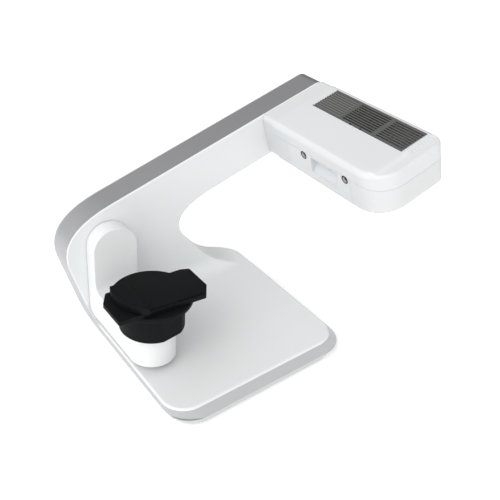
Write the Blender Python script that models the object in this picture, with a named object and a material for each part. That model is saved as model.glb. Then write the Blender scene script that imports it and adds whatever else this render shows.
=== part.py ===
"""Desktop 3D scanner: a C-shaped stand whose arm carries a scan head over a swinging turntable.

Metres, +Z up. The working frame has x = 0 at the left edge of the base's top, y = 0 at its front
and z = 0 on the table. finish() moves every piece by -ORIGIN, so the part's own origin is the
middle of the whole object, seen from above, at table level. The head and the bracket are built in
frames of their own.
"""

import math

import bmesh
import bpy
from mathutils import Matrix, Vector

# Part origin in the working frame.
ORIGIN = Vector((0.18135, 0.12275, 0.0))

# Clearances.
GAP = 0.0003
PANEL_GAP = 0.0004
RUNNING_CLEARANCE = 0.0001
OVERSHOOT = 0.02

# Base slab.
BASE_LENGTH = 0.234
BASE_BACK_Y = 0.2473
BASE_TOP_Z = 0.037
BASE_BOTTOM_Z = 0.013
BASE_RIM_RADIUS = 0.0028
BASE_LEFT_LEAN = math.radians(12.2)
BASE_RIGHT_LEAN = math.radians(39.8)
BASE_CORNERS = ("front_left", "front_right", "back_right", "back_left")
BASE_TOP_CORNER_RADII = (0.030, 0.028, 0.033, 0.003)
BASE_LOW_CORNER_RADII = (0.039, 0.034, 0.036, 0.003)
LEAST_CORNER_SHARE = 0.125
BASE_SKIN = 0.0055
BASE_ROOF = 0.0035
BASE_CAVITY_BACK_Y = 0.218
REAR_BEND_RADIUS = 0.030

# Wall and arm: one C profile in x and z, square across in y.
WALL_FRONT_Y = 0.2093
WALL_BACK_Y = 0.2475
WALL_SKIN = 0.0032
WALL_SIDE_SKIN = 0.006
WALL_EDGE_ROUNDING = 0.0020
COVE_RADIUS = 0.020
ARM_ANGLE = math.radians(14.1)
ARM_LINE_HEIGHT = 0.1762
ARM_DEPTH = 0.0607
ARM_END_U = 0.383
ARM_END_ROUNDING = 0.014
SHOULDER_DOWN = 0.0537
SHOULDER_ALONG = 0.0758
CUTOUT_ANGLE = math.radians(53.5)
CUTOUT_FROM_RIGHT = 0.0769
CUTOUT_ABOVE_BASE = 0.0495
CUTOUT_NOSE_ALONG = 0.0767
CUTOUT_FLARE_OUT = 0.0343
CUTOUT_NOSE_SIDE_SHARE = 0.38884
CUTOUT_FLARE_SIDE_SHARE = 0.30285
WALL_ROOT_DEPTH = 0.0090
PASSAGE_LOW = (0.016, 0.213, 0.022)
PASSAGE_HIGH = (0.150, 0.232, 0.060)
WALL_CAVITY_FLOOR_Z = 0.050

# Metal edge band, set flush into the sides.
BAND_THICKNESS = 0.0016
BAND_TOP_Z = 0.0338
BAND_FRONT_Y = 0.2113
BAND_BACK_Y = 0.2468
BAND_COVE_RADIUS = 0.022
BAND_CUTOUT_MARGIN = 0.004
BAND_BASE_END_Y = 0.2400

# Rear cover and what goes through it.
REAR_COVER_THICKNESS = 0.0025
REAR_COVER_MARGIN = 0.0008
REAR_COVER_LOW_Z = 0.0455
DC_INLET_XZ = (0.062, 0.078)
DC_INLET_RADIUS = 0.0055
DC_SOCKET_RADIUS = 0.0032
DC_PIN_RADIUS = 0.0010
DC_SOCKET_DEPTH = 0.0090
USB_XZ = (0.086, 0.078)
USB_SIZE = (0.0120, 0.0110)
USB_OPENING = (0.0084, 0.0078)
USB_TONGUE = (0.0050, 0.0030)
USB_DEPTH = 0.0085
BUTTON_XZ = (0.112, 0.078)
BUTTON_RADIUS = 0.0065
BUTTON_EDGE = 0.0008
BUTTON_PROUD = 0.0015
BUTTON_LENGTH = 0.0068
BOARD_LOW = (0.050, 0.2392, 0.062)
BOARD_HIGH = (0.126, 0.2408, 0.096)
SWITCH_SIZE = (0.0080, 0.0012, 0.0080)

# Tray, ballast and feet.
TRAY_BOTTOM_Z = 0.003
TRAY_SKIN = 0.0025
TRAY_LOW_LEFT_X = 0.0115
TRAY_TOP_LEFT_X = 0.0068
TRAY_LOW_REACH = 0.0020
TRAY_TOP_REACH = 0.0125
TRAY_FRONT_Y = (0.0012, 0.0006)
TRAY_BACK_Y = 0.2165
TRAY_CORNER_RADIUS = 0.032
TRAY_EDGE_ROUNDING = 0.0030
BALLAST_LOW = (0.030, 0.030, 0.0134)
BALLAST_FROM_RIGHT = 0.016
BALLAST_BACK_Y = 0.190
BALLAST_TOP_Z = 0.0190
FOOT_RADIUS = 0.0085
FOOT_EDGE = 0.0008
FOOT_LEFT_X = 0.040
FOOT_FROM_RIGHT = 0.029
FOOT_FRONT_Y = 0.030
FOOT_REAR_Y = 0.192

# Swing bracket, in its own frame: x across, y as in the working frame, z up from the pivot.
PIVOT_X = 0.0356
PIVOT_BELOW_ARM_LINE = 0.0357
PIVOT_Z = ARM_LINE_HEIGHT - PIVOT_BELOW_ARM_LINE
SWING_AT_REST = math.radians(4.9)
TURNTABLE_Y = 0.0982
BRACKET_HALF_WIDTH = 0.0282
BRACKET_BACK_Y = 0.2085
BRACKET_PLATE_THICKNESS = 0.0215
BRACKET_ABOVE_BASE = 0.0087
BRACKET_BOTTOM_B = PIVOT_Z - BASE_TOP_Z - BRACKET_ABOVE_BASE
BRACKET_LEG_TOP_B = 0.0525
BRACKET_INNER_RADIUS = 0.012
BRACKET_OUTER_RADIUS = 0.016
BRACKET_EDGE = 0.0022
BRACKET_SKIN = 0.003
BRACKET_COVER_THICKNESS = 0.002
BRACKET_COVER_LEDGE = 0.0012

# Swing drive inside the wall.
SWING_SHAFT_RADIUS = 0.006
SHAFT_HOLE_CLEARANCE = 0.0012
SWING_BEARING_RADIUS = 0.014
SWING_BEARING_Y = (0.2128, 0.2222)
GEAR_MODULE = 0.0008
GEAR_TEETH = 48
PINION_TEETH = 12
GEAR_Y = (0.2238, 0.2286)
TOOTH_ADDENDUM = 0.9
TOOTH_DEDENDUM = 1.15
TOOTH_ROOT_SHARE = 0.56
TOOTH_TIP_SHARE = 0.24
MOTOR_RADIUS = 0.0140
MOTOR_FRONT_Y = 0.2308
MOTOR_SHAFT_RADIUS = 0.0020
MOTOR_NOSE_RADIUS = 0.0055
MOTOR_NOSE_LENGTH = 0.0010

# Turntable, drum and model plate, in the bracket frame.
TABLE_MOTOR_RADIUS = 0.0190
SPINDLE_LOW_B = 0.0630
SPINDLE_RADIUS = 0.004
SPINDLE_TOP_B = 0.0190
TABLE_BEARING_RADIUS = 0.0095
DRUM_RADIUS = 0.0381
DRUM_TOP_B = 0.0163
DRUM_BOTTOM_B = 0.0519
DRUM_FLAT_Y = -0.0355
DRUM_FLAT_ANGLE = math.radians(10.0)
DRUM_SKIN = 0.0030
DRUM_EDGE = 0.0008
DISC_RADIUS = 0.0475
DISC_B = (0.0103, 0.0160)
PLATE_B = (0.0050, 0.0100)
PLATE_X = (-0.0580, 0.0590)
PLATE_Y = (-0.0380, 0.0200)
PLATE_TAPER = 0.0040
PLATE_CHAMFER_X = 0.0105
PLATE_CHAMFER_Y = 0.0160
PLATE_CORNER_ROUNDING = 0.0025
SEAT_MARGIN = 0.0040
SEAT_HEIGHT = 0.0008
JAW_B = (-0.0030, 0.0047)
JAW_CHORD_X = -0.0240
JAW_RADIUS = 0.0465

# Head frame: x along the arm (u), y towards the viewer is negative (-v), z square to the arm (w).
HEAD_U = (0.2761, 0.3838)
HEAD_END_V = 0.2156
HEAD_HEIGHT = 0.0573
HEAD_TOP_ROUNDING = 0.0068
HEAD_LOW_ROUNDING = 0.002
HEAD_LENS_CORNER_RADIUS = 0.038
HEAD_FAR_CORNER_RADIUS = 0.016
HEAD_SKIN = 0.0025
NECK_V = (0.0004, 0.0220)
NECK_BORE = 0.016
NECK_DROP = 0.0008
SPLIT_LINE_V = (0.0, 0.168, 0.184, 0.200, 0.230)
SPLIT_LINE_W = (-0.0186, -0.0186, -0.0202, -0.0228, -0.0262)
END_STEP_V = (0.1965, 0.2030)
END_STEP_DEPTH = 0.0022
BEZEL_V = (0.0500, 0.1660)
BEZEL_LOW_W = -0.0550
BEZEL_TOP_W = -0.0190
BEZEL_THICKNESS = 0.003
CAMERA_V = {"left": 0.0816, "right": 0.1577}
CAMERA_W = -0.0238
CAMERA_HOLE_RADIUS = 0.0042
CAMERA_BARREL_RADIUS = 0.0065
CAMERA_LENS_RADIUS = 0.0038
CAMERA_LENS_THICKNESS = 0.0012
RECESS_TOP_V = (0.0950, 0.1450)
RECESS_LOW_V = (0.0937, 0.1405)
RECESS_W = (-0.0440, -0.0210)
RECESS_DEPTHS = (0.0030, 0.0150)
RECESS_WALL = 0.0016
PROJECTOR_CENTRE = (0.120, -0.0285)
PROJECTOR_LENS_RADIUS = 0.0050
PROJECTOR_BARREL_RADIUS = 0.0065
PROJECTOR_LOW = (0.3075, -0.1420, -0.0480)
PROJECTOR_HIGH = (0.3290, -0.0980, -0.0180)
BENCH_U = (0.2990, 0.3070)
BENCH_V = (0.0600, 0.1760)
BENCH_W = (-0.0545, -0.0150)
HEAD_BOARD_LOW = (0.3090, -0.0930, -0.0520)
HEAD_BOARD_HIGH = (0.3560, -0.0300, -0.0504)
BOARD_PILLAR_RADIUS = 0.0022

# Grille in the head's top.
GRILLE_U = (0.3335, 0.3760)
GRILLE_V = (0.0356, 0.1938)
GRILLE_THICKNESS = 0.0013
GRILLE_TOP_W = -0.0002
GRILLE_LEDGE = 0.0012
SLOT_PITCH = 0.0040
SLOT_WIDTH = 0.0022
SLOT_COUNT = 9
SLOT_STARTS_V = (0.0380, 0.0875, 0.1470)
SLOT_ENDS_V = (0.0830, 0.1400, 0.1920)
SLOT_MARGIN = 0.0045

# Fan under the grille's middle section.
FAN_CENTRE = (0.3500, 0.1140)
FAN_SIDE = 0.050
FAN_W = (-0.0130, -0.0028)
FAN_BORE_RADIUS = 0.0225
FAN_HUB_RADIUS = 0.0100
FAN_TIP_RADIUS = 0.0216
FAN_BLADES = 7
FAN_BLADE_THICKNESS = 0.0012
FAN_BLADE_TILT = math.radians(35.0)
FAN_BLADE_HEIGHT_SHARE = 0.8
FAN_BLADE_ROOT_SHARE = 0.9
FAN_SPOKE_WIDTH = 0.0030
FAN_SPOKE_HEIGHT = 0.0012

# Mount plate inside the arm, behind the head.
HEAD_MOUNT_U = (0.2920, 0.3680)
HEAD_MOUNT_EDGE_W = 0.0110
HEAD_MOUNT_W = (HEAD_MOUNT_EDGE_W - ARM_DEPTH, -HEAD_MOUNT_EDGE_W)
HEAD_MOUNT_THICKNESS = 0.003

# Facets.
LEAST_MITRE_SHARE = 0.5
SMOOTH_ANGLE = math.radians(32.0)
CURVE_STEPS = 10
CORNER_STEPS = 8
ROUND_SEGMENTS = 48
FINE_SEGMENTS = 64
SMALL_SEGMENTS = 24
ROUNDING_STEPS = 3

HEAD_FRAME = Matrix.Translation((0.0, WALL_FRONT_Y, ARM_LINE_HEIGHT)) @ Matrix.Rotation(-ARM_ANGLE, 4, "Y")
BRACKET_FRAME = Matrix.Translation((PIVOT_X, 0.0, PIVOT_Z)) @ Matrix.Rotation(SWING_AT_REST, 4, "Y")

# Colour, roughness and metallic of each finish.
FINISHES = {
    "white_plastic": ((0.79, 0.80, 0.80, 1.0), 0.42, 0.0),
    "white_rim": ((0.84, 0.85, 0.85, 1.0), 0.35, 0.0),
    "tray_plastic": ((0.70, 0.72, 0.70, 1.0), 0.50, 0.0),
    "band_metal": ((0.30, 0.30, 0.31, 1.0), 0.38, 0.9),
    "black_plastic": ((0.012, 0.013, 0.014, 1.0), 0.55, 0.0),
    "grille_plastic": ((0.125, 0.125, 0.120, 1.0), 0.55, 0.0),
    "rubber_black": ((0.020, 0.020, 0.020, 1.0), 0.85, 0.0),
    "board_green": ((0.020, 0.110, 0.050, 1.0), 0.60, 0.0),
    "steel": ((0.45, 0.45, 0.46, 1.0), 0.35, 1.0),
    "aluminium": ((0.60, 0.61, 0.62, 1.0), 0.40, 1.0),
    "lens_glass": ((0.010, 0.012, 0.020, 1.0), 0.05, 0.0),
    "gear_plastic": ((0.70, 0.68, 0.62, 1.0), 0.50, 0.0),
}


def clear_scene():
    """Removes the start-up objects, so that only this part is in the file."""
    for obj in list(bpy.data.objects):
        bpy.data.objects.remove(obj)


# Outlines in two dimensions.
def crossing(point_a, angle_a, point_b, angle_b):
    """The point where two lines meet, each given by a point and its angle."""
    ax, ay = math.cos(angle_a), math.sin(angle_a)
    bx, by = math.cos(angle_b), math.sin(angle_b)
    dx, dy = point_b[0] - point_a[0], point_b[1] - point_a[1]
    along = (dx * by - dy * bx) / (ax * by - ay * bx)
    return (point_a[0] + along * ax, point_a[1] + along * ay)


def blended(corners, steps=CURVE_STEPS):
    """A closed outline from (x, y, length before, length after) corners, each softened by a parabola."""
    loop = []
    for index, (x, y, before, after) in enumerate(corners):
        if before == 0.0:
            loop.append((x, y))
            continue
        corner = Vector((x, y))
        last = Vector(corners[index - 1][:2])
        following = Vector(corners[(index + 1) % len(corners)][:2])
        start = corner + (last - corner).normalized() * before
        end = corner + (following - corner).normalized() * after
        for step in range(steps + 1):
            t = step / steps
            point = (1 - t) ** 2 * start + 2 * t * (1 - t) * corner + t**2 * end
            loop.append((point.x, point.y))
    return loop


def rounded(corners, steps=CORNER_STEPS):
    """A closed outline from (x, y, radius) corners, each softened by an arc."""
    loop = []
    for index, (x, y, radius) in enumerate(corners):
        corner = Vector((x, y))
        to_last = (Vector(corners[index - 1][:2]) - corner).normalized()
        to_next = (Vector(corners[(index + 1) % len(corners)][:2]) - corner).normalized()
        half = to_last.angle(to_next) / 2
        centre = corner + (to_last + to_next).normalized() * radius / math.sin(half)
        start = corner + to_last * radius / math.tan(half) - centre
        end = corner + to_next * radius / math.tan(half) - centre
        turn = math.atan2(start.x * end.y - start.y * end.x, start.dot(end))
        for step in range(steps + 1):
            angle = turn * step / steps
            c, s = math.cos(angle), math.sin(angle)
            loop.append((centre.x + start.x * c - start.y * s, centre.y + start.x * s + start.y * c))
    return loop


def inset(loop, distance):
    """The same outline with each point moved inwards, square to its two edges."""
    area = sum(a[0] * b[1] - b[0] * a[1] for a, b in zip(loop, loop[1:] + loop[:1]))
    side = 1.0 if area > 0 else -1.0
    moved = []
    for index, point in enumerate(loop):
        here = Vector(point)
        before = (here - Vector(loop[index - 1])).normalized()
        after = (Vector(loop[(index + 1) % len(loop)]) - here).normalized()
        normal_a = Vector((-before.y, before.x)) * side
        normal_b = Vector((-after.y, after.x)) * side
        middle = (normal_a + normal_b).normalized()
        moved.append(tuple(here + middle * distance / max(middle.dot(normal_a), LEAST_MITRE_SHARE)))
    return moved


def circle(radius, segments, centre=(0.0, 0.0)):
    """Points of a circle, counter-clockwise."""
    turns = (math.tau * index / segments for index in range(segments))
    return [(centre[0] + radius * math.cos(turn), centre[1] + radius * math.sin(turn)) for turn in turns]


# Solids as objects. Cutters are used up by the operation that needs them.
def solid(bm, name="work"):
    """Makes an object of a bmesh, with its faces turned out."""
    bmesh.ops.recalc_face_normals(bm, faces=bm.faces)
    mesh = bpy.data.meshes.new(name)
    bm.to_mesh(mesh)
    bm.free()
    obj = bpy.data.objects.new(name, mesh)
    bpy.context.scene.collection.objects.link(obj)
    return obj


def loft(rings, closed=False):
    """A solid through rings of points with equal counts, capped at both ends unless it closes on itself."""
    bm = bmesh.new()
    rows = [[bm.verts.new(point) for point in ring] for ring in rings]
    pairs = list(zip(rows, rows[1:]))
    if closed:
        pairs.append((rows[-1], rows[0]))
    else:
        bm.faces.new(rows[0])
        bm.faces.new(rows[-1])
    for low, high in pairs:
        for index in range(len(low)):
            after = (index + 1) % len(low)
            bm.faces.new((low[index], low[after], high[after], high[index]))
    return solid(bm)


def lift(loop, depth, axis):
    """Points of a flat outline in space, at a depth along the axis."""
    if axis == "X":
        return [(depth, p, q) for p, q in loop]
    if axis == "Y":
        return [(p, depth, q) for p, q in loop]
    return [(p, q, depth) for p, q in loop]


def prism(loop, low, high, axis):
    """An outline pushed along an axis."""
    return loft([lift(loop, low, axis), lift(loop, high, axis)])


def box(low, high):
    """A block between two corners."""
    loop = [(low[0], low[1]), (high[0], low[1]), (high[0], high[1]), (low[0], high[1])]
    return prism(loop, low[2], high[2], "Z")


def turned(profile, centre, axis, segments=ROUND_SEGMENTS, closed=False):
    """A solid of revolution: (radius, height) points about an axis through a centre in the plane."""
    rings = [lift(circle(radius, segments, centre), height, axis) for radius, height in profile]
    return loft(rings, closed)


def rod(radius, low, high, centre, axis, segments=ROUND_SEGMENTS):
    """A plain cylinder."""
    return turned([(radius, low), (radius, high)], centre, axis, segments)


def combine(target, other, operation):
    """Applies one exact Boolean and removes the other object."""
    modifier = target.modifiers.new(operation, "BOOLEAN")
    modifier.operation = operation
    modifier.solver = "EXACT"
    modifier.object = other
    graph = bpy.context.evaluated_depsgraph_get()
    result = bpy.data.meshes.new_from_object(target.evaluated_get(graph))
    target.modifiers.clear()
    target.data = result
    bpy.data.objects.remove(other)
    return target


def cut(target, *cutters):
    """Takes each cutter away from the target."""
    for cutter in cutters:
        combine(target, cutter, "DIFFERENCE")
    return target


def fuse(target, *others):
    """Adds each solid to the target."""
    for other in others:
        combine(target, other, "UNION")
    return target


def keep(target, *masks):
    """Keeps what lies inside every mask."""
    for mask in masks:
        combine(target, mask, "INTERSECT")
    return target


def material_for(name, finish):
    """A Principled material of the piece's own."""
    colour, roughness, metallic = FINISHES[finish]
    material = bpy.data.materials.new(name)
    material.use_nodes = True
    shader = material.node_tree.nodes["Principled BSDF"]
    shader.inputs["Base Color"].default_value = colour
    shader.inputs["Roughness"].default_value = roughness
    shader.inputs["Metallic"].default_value = metallic
    material.diffuse_color = colour
    return material


def finish(obj, name, finish_name, frame=None, pivot=None, smooth=None):
    """Names a piece, puts it in the part's frame, gives it its origin, material and shading."""
    obj.name = obj.data.name = name
    if frame is not None:
        obj.data.transform(frame)
    obj.data.transform(Matrix.Translation(-ORIGIN))
    if pivot is not None:
        place = Vector(pivot) - ORIGIN
        obj.data.transform(Matrix.Translation(-place))
        obj.location = place
    obj.data.materials.clear()
    obj.data.materials.append(material_for(name, finish_name))
    if smooth is not None:
        obj.data.polygons.foreach_set("use_smooth", [True] * len(obj.data.polygons))
        obj.data.set_sharp_from_angle(angle=smooth)
    return obj


# Body: the outlines that the shell, the band, the cover and the tray share.
def left_x(height):
    """The leaning left side's x at a height."""
    return (BASE_TOP_Z - height) * math.tan(BASE_LEFT_LEAN)


def arm_point(u, w):
    """A point of the arm in x and z, u along its top and w square to it."""
    c, s = math.cos(ARM_ANGLE), math.sin(ARM_ANGLE)
    return (u * c - w * s, ARM_LINE_HEIGHT + u * s + w * c)


def base_outline(height, margin=0.0):
    """The base's plan at a height, its sides moved in by a margin."""
    share = (BASE_TOP_Z - height) / (BASE_TOP_Z - BASE_BOTTOM_Z)
    right = BASE_LENGTH + (BASE_TOP_Z - height) * math.tan(BASE_RIGHT_LEAN)
    radii = {}
    for corner, top, low in zip(BASE_CORNERS, BASE_TOP_CORNER_RADII, BASE_LOW_CORNER_RADII):
        radii[corner] = max(top + (low - top) * share - margin, top * LEAST_CORNER_SHARE)
    left, front = left_x(height) + margin, margin
    right, back = right - margin, BASE_BACK_Y - margin
    return rounded(
        [
            (left, front, radii["front_left"]),
            (right, front, radii["front_right"]),
            (right, back, radii["back_right"]),
            (left, back, radii["back_left"]),
        ]
    )


def base_slab(margin=0.0):
    """The base as a solid with a rounded top rim."""
    rim = BASE_TOP_Z - BASE_RIM_RADIUS
    rings = [lift(base_outline(z, margin), z, "Z") for z in (BASE_BOTTOM_Z - margin, rim)]
    for step in range(1, ROUNDING_STEPS + 1):
        angle = math.pi / 2 * step / ROUNDING_STEPS
        inwards = BASE_RIM_RADIUS * (1 - math.cos(angle))
        height = rim + BASE_RIM_RADIUS * math.sin(angle)
        rings.append(lift(base_outline(rim, margin + inwards), height, "Z"))
    return loft(rings)


def arm_and_wall_outline():
    """The C profile in x and z, its foot ending inside the base slab."""
    rim = BASE_TOP_Z - BASE_RIM_RADIUS
    foot = rim - WALL_ROOT_DEPTH
    left_line = (left_x(rim), rim)
    left_angle = math.pi / 2 + BASE_LEFT_LEAN
    lower_line = arm_point(0.0, -ARM_DEPTH)
    cutout_point = (BASE_LENGTH - CUTOUT_FROM_RIGHT, BASE_TOP_Z + CUTOUT_ABOVE_BASE)
    flare = crossing(cutout_point, -CUTOUT_ANGLE, (0.0, BASE_TOP_Z), 0.0)
    nose = crossing(cutout_point, -CUTOUT_ANGLE, lower_line, ARM_ANGLE)
    side = math.dist(flare, nose)
    shoulder = crossing(left_line, left_angle, (0.0, ARM_LINE_HEIGHT), ARM_ANGLE)
    right = flare[0] + CUTOUT_FLARE_OUT + WALL_ROOT_DEPTH
    return blended(
        [
            (left_line[0] + WALL_ROOT_DEPTH, foot, 0.0, 0.0),
            (right, foot, 0.0, 0.0),
            (right, BASE_TOP_Z, 0.0, 0.0),
            (*flare, CUTOUT_FLARE_OUT, side * CUTOUT_FLARE_SIDE_SHARE),
            (*nose, side * CUTOUT_NOSE_SIDE_SHARE, CUTOUT_NOSE_ALONG),
            (*arm_point(ARM_END_U, -ARM_DEPTH), ARM_END_ROUNDING, ARM_END_ROUNDING),
            (*arm_point(ARM_END_U, 0.0), ARM_END_ROUNDING, ARM_END_ROUNDING),
            (*shoulder, SHOULDER_ALONG, SHOULDER_DOWN),
            (*left_line, 0.0, 0.0),
        ]
    )


OUTLINE = arm_and_wall_outline()
OUTLINE_POINTS_BEFORE_CUTOUT = 2


def wall_slab(margin=0.0):
    """Wall and arm as one slab with a softened front edge, its right foot trimmed to the base's plan."""
    front = WALL_FRONT_Y + margin
    rings = []
    for step in range(ROUNDING_STEPS + 1):
        angle = math.pi / 2 * step / ROUNDING_STEPS
        inwards = WALL_EDGE_ROUNDING * (1 - math.sin(angle)) + margin
        depth = front + WALL_EDGE_ROUNDING * (1 - math.cos(angle))
        rings.append(lift(inset(OUTLINE, inwards), depth, "Y"))
    rings.append(lift(inset(OUTLINE, margin), WALL_BACK_Y + margin, "Y"))
    slab = loft(rings)
    plan = base_outline(BASE_TOP_Z, margin)
    far = BASE_LENGTH + OVERSHOOT
    right_edge = max(x for x, _ in plan)
    corner = [(x, y) for x, y in plan if y > WALL_FRONT_Y and x > BASE_LENGTH / 2]
    loop = [(right_edge, WALL_FRONT_Y - OVERSHOOT), *corner, (corner[-1][0], far + OVERSHOOT)]
    loop += [(far, far + OVERSHOOT), (far, WALL_FRONT_Y - OVERSHOOT)]
    return cut(slab, prism(loop, 0.0, BASE_TOP_Z + CUTOUT_ABOVE_BASE, "Z"))


def cove(margin=0.0):
    """The hollow fillet between the base's top and the wall's front."""
    centre_y, centre_z = WALL_FRONT_Y - COVE_RADIUS, BASE_TOP_Z + COVE_RADIUS
    loop = [(centre_y - COVE_RADIUS / 8, BASE_TOP_Z - COVE_RADIUS / 8)]
    for step in range(CURVE_STEPS + 1):
        angle = math.pi / 2 * step / CURVE_STEPS
        loop.append((centre_y + COVE_RADIUS * math.sin(angle), centre_z - COVE_RADIUS * math.cos(angle)))
    inside = WALL_FRONT_Y + 2 * WALL_EDGE_ROUNDING
    loop += [(inside, centre_z + WALL_EDGE_ROUNDING), (inside, BASE_TOP_Z - COVE_RADIUS / 8)]
    strip = prism(loop, -OVERSHOOT, BASE_LENGTH, "X")
    side = inset(OUTLINE, margin + GAP)
    return keep(strip, prism(side, centre_y - OVERSHOOT, WALL_BACK_Y, "Y"))


def rear_bend_cutter():
    """What the large radius at the body's lower back edge takes away."""
    centre_y, centre_z = WALL_BACK_Y - REAR_BEND_RADIUS, BASE_BOTTOM_Z + REAR_BEND_RADIUS
    loop = [(WALL_BACK_Y + OVERSHOOT, 0.0), (WALL_BACK_Y + OVERSHOOT, centre_z)]
    for step in range(CURVE_STEPS + 1):
        angle = math.pi / 2 * step / CURVE_STEPS
        y = centre_y + REAR_BEND_RADIUS * math.cos(angle)
        loop.append((y, centre_z - REAR_BEND_RADIUS * math.sin(angle)))
    loop.append((centre_y, 0.0))
    return prism(loop, -2 * OVERSHOOT, BASE_LENGTH + 2 * OVERSHOOT, "X")


def outer_body():
    """The whole stand as one solid."""
    return cut(fuse(base_slab(), wall_slab(), cove()), rear_bend_cutter())


def inner_body(margin):
    """The stand with its sides moved in, and reaching past its open bottom and back."""
    return fuse(base_slab(margin), wall_slab(margin), cove(margin))


def band_mask(grow=0.0):
    """Where the edge band runs: along the base's sides, up the wall's left edge and over the arm."""
    top, front, back = BAND_TOP_Z + grow, BAND_FRONT_Y - grow, BAND_BACK_Y + grow
    radius = BAND_COVE_RADIUS - grow
    loop = [(-OVERSHOOT, -OVERSHOOT), (back, -OVERSHOOT), (back, HEAD_END_V * 2), (front, HEAD_END_V * 2)]
    for step in range(CURVE_STEPS + 1):
        angle = math.pi / 2 * step / CURVE_STEPS
        loop.append((front - radius * (1 - math.cos(angle)), top + radius * (1 - math.sin(angle))))
    loop.append((-OVERSHOOT, top))
    mask = prism(loop, -3 * OVERSHOOT, ARM_END_U + 2 * OVERSHOOT, "X")
    end_low = (BASE_LENGTH / 2, BAND_BASE_END_Y + grow, -2 * OVERSHOOT)
    cut(mask, box(end_low, (ARM_END_U, BAND_BACK_Y + OVERSHOOT, WALL_CAVITY_FLOOR_Z)))
    cutout = inset(OUTLINE, BAND_CUTOUT_MARGIN - grow)
    end = OUTLINE_POINTS_BEFORE_CUTOUT + 2 * (CURVE_STEPS + 1) + 1
    inner = cutout[OUTLINE_POINTS_BEFORE_CUTOUT:end]
    far = ARM_END_U + 3 * OVERSHOOT
    step_z = BAND_TOP_Z + grow
    last = inner[-1]
    reach = Vector((math.cos(ARM_ANGLE), math.sin(ARM_ANGLE))) * ARM_END_U
    loop = [(far, step_z), (inner[0][0], step_z), *inner[1:], (last[0] + reach.x, last[1] + reach.y)]
    return cut(mask, prism(loop, -OVERSHOOT, BAND_BACK_Y + OVERSHOOT, "Y"))


def front_shell():
    """White body shell: open to the rear behind the wall and open below the base."""
    pocket = cut(band_mask(GAP), inner_body(BAND_THICKNESS + GAP))
    shell = cut(outer_body(), pocket)
    heights = (BASE_BOTTOM_Z - OVERSHOOT / 4, BASE_TOP_Z - BASE_ROOF)
    base_hollow = loft([lift(base_outline(z, BASE_SKIN), z, "Z") for z in heights])
    back = BASE_CAVITY_BACK_Y
    behind = (BASE_LENGTH + 3 * OVERSHOOT, back + 4 * OVERSHOOT, 4 * OVERSHOOT)
    cut(base_hollow, box((-OVERSHOOT, back, -OVERSHOOT), behind))
    outline, front = inset(OUTLINE, WALL_SIDE_SKIN), WALL_FRONT_Y - OVERSHOOT
    wall_hollow = prism(outline, WALL_FRONT_Y + WALL_SKIN, WALL_BACK_Y + OVERSHOOT, "Y")
    floor = (ARM_END_U, WALL_BACK_Y + 2 * OVERSHOOT, WALL_CAVITY_FLOOR_Z)
    cut(wall_hollow, box((-3 * OVERSHOOT, front, 0.0), floor))
    cut(shell, base_hollow, wall_hollow, box(PASSAGE_LOW, PASSAGE_HIGH))
    bore = SWING_SHAFT_RADIUS + SHAFT_HOLE_CLEARANCE
    cut(shell, rod(bore, front, WALL_BACK_Y, (PIVOT_X, PIVOT_Z), "Y"))
    middle = arm_point(sum(HEAD_MOUNT_U) / 2, sum(HEAD_MOUNT_W) / 2)
    cut(shell, rod(NECK_BORE, front, WALL_FRONT_Y + OVERSHOOT / 2, middle, "Y"))
    finish(shell, "front_shell", "white_plastic", smooth=SMOOTH_ANGLE)


def edge_band():
    """Satin metal strip let into the sides of the base, the wall and the arm."""
    band = keep(outer_body(), band_mask())
    cut(band, inner_body(BAND_THICKNESS))
    finish(band, "edge_band", "band_metal", smooth=SMOOTH_ANGLE)


def rear_cover():
    """Flat panel that closes the wall and the arm from behind, with the socket and button holes."""
    front = WALL_BACK_Y + GAP
    back = front + REAR_COVER_THICKNESS
    cover = prism(inset(OUTLINE, REAR_COVER_MARGIN), front, back, "Y")
    low, high = front - OVERSHOOT, back + OVERSHOOT
    cut(cover, box((-3 * OVERSHOOT, low, 0.0), (ARM_END_U, high, REAR_COVER_LOW_Z)))
    cut(cover, rod(DC_INLET_RADIUS + GAP, low, high, DC_INLET_XZ, "Y"))
    cut(cover, rod(BUTTON_RADIUS + GAP, low, high, BUTTON_XZ, "Y"))
    half_w, half_h = USB_SIZE[0] / 2 + GAP, USB_SIZE[1] / 2 + GAP
    cut(
        cover,
        box(
            (USB_XZ[0] - half_w, low, USB_XZ[1] - half_h),
            (USB_XZ[0] + half_w, high, USB_XZ[1] + half_h),
        ),
    )
    finish(cover, "rear_cover", "white_plastic")


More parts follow.
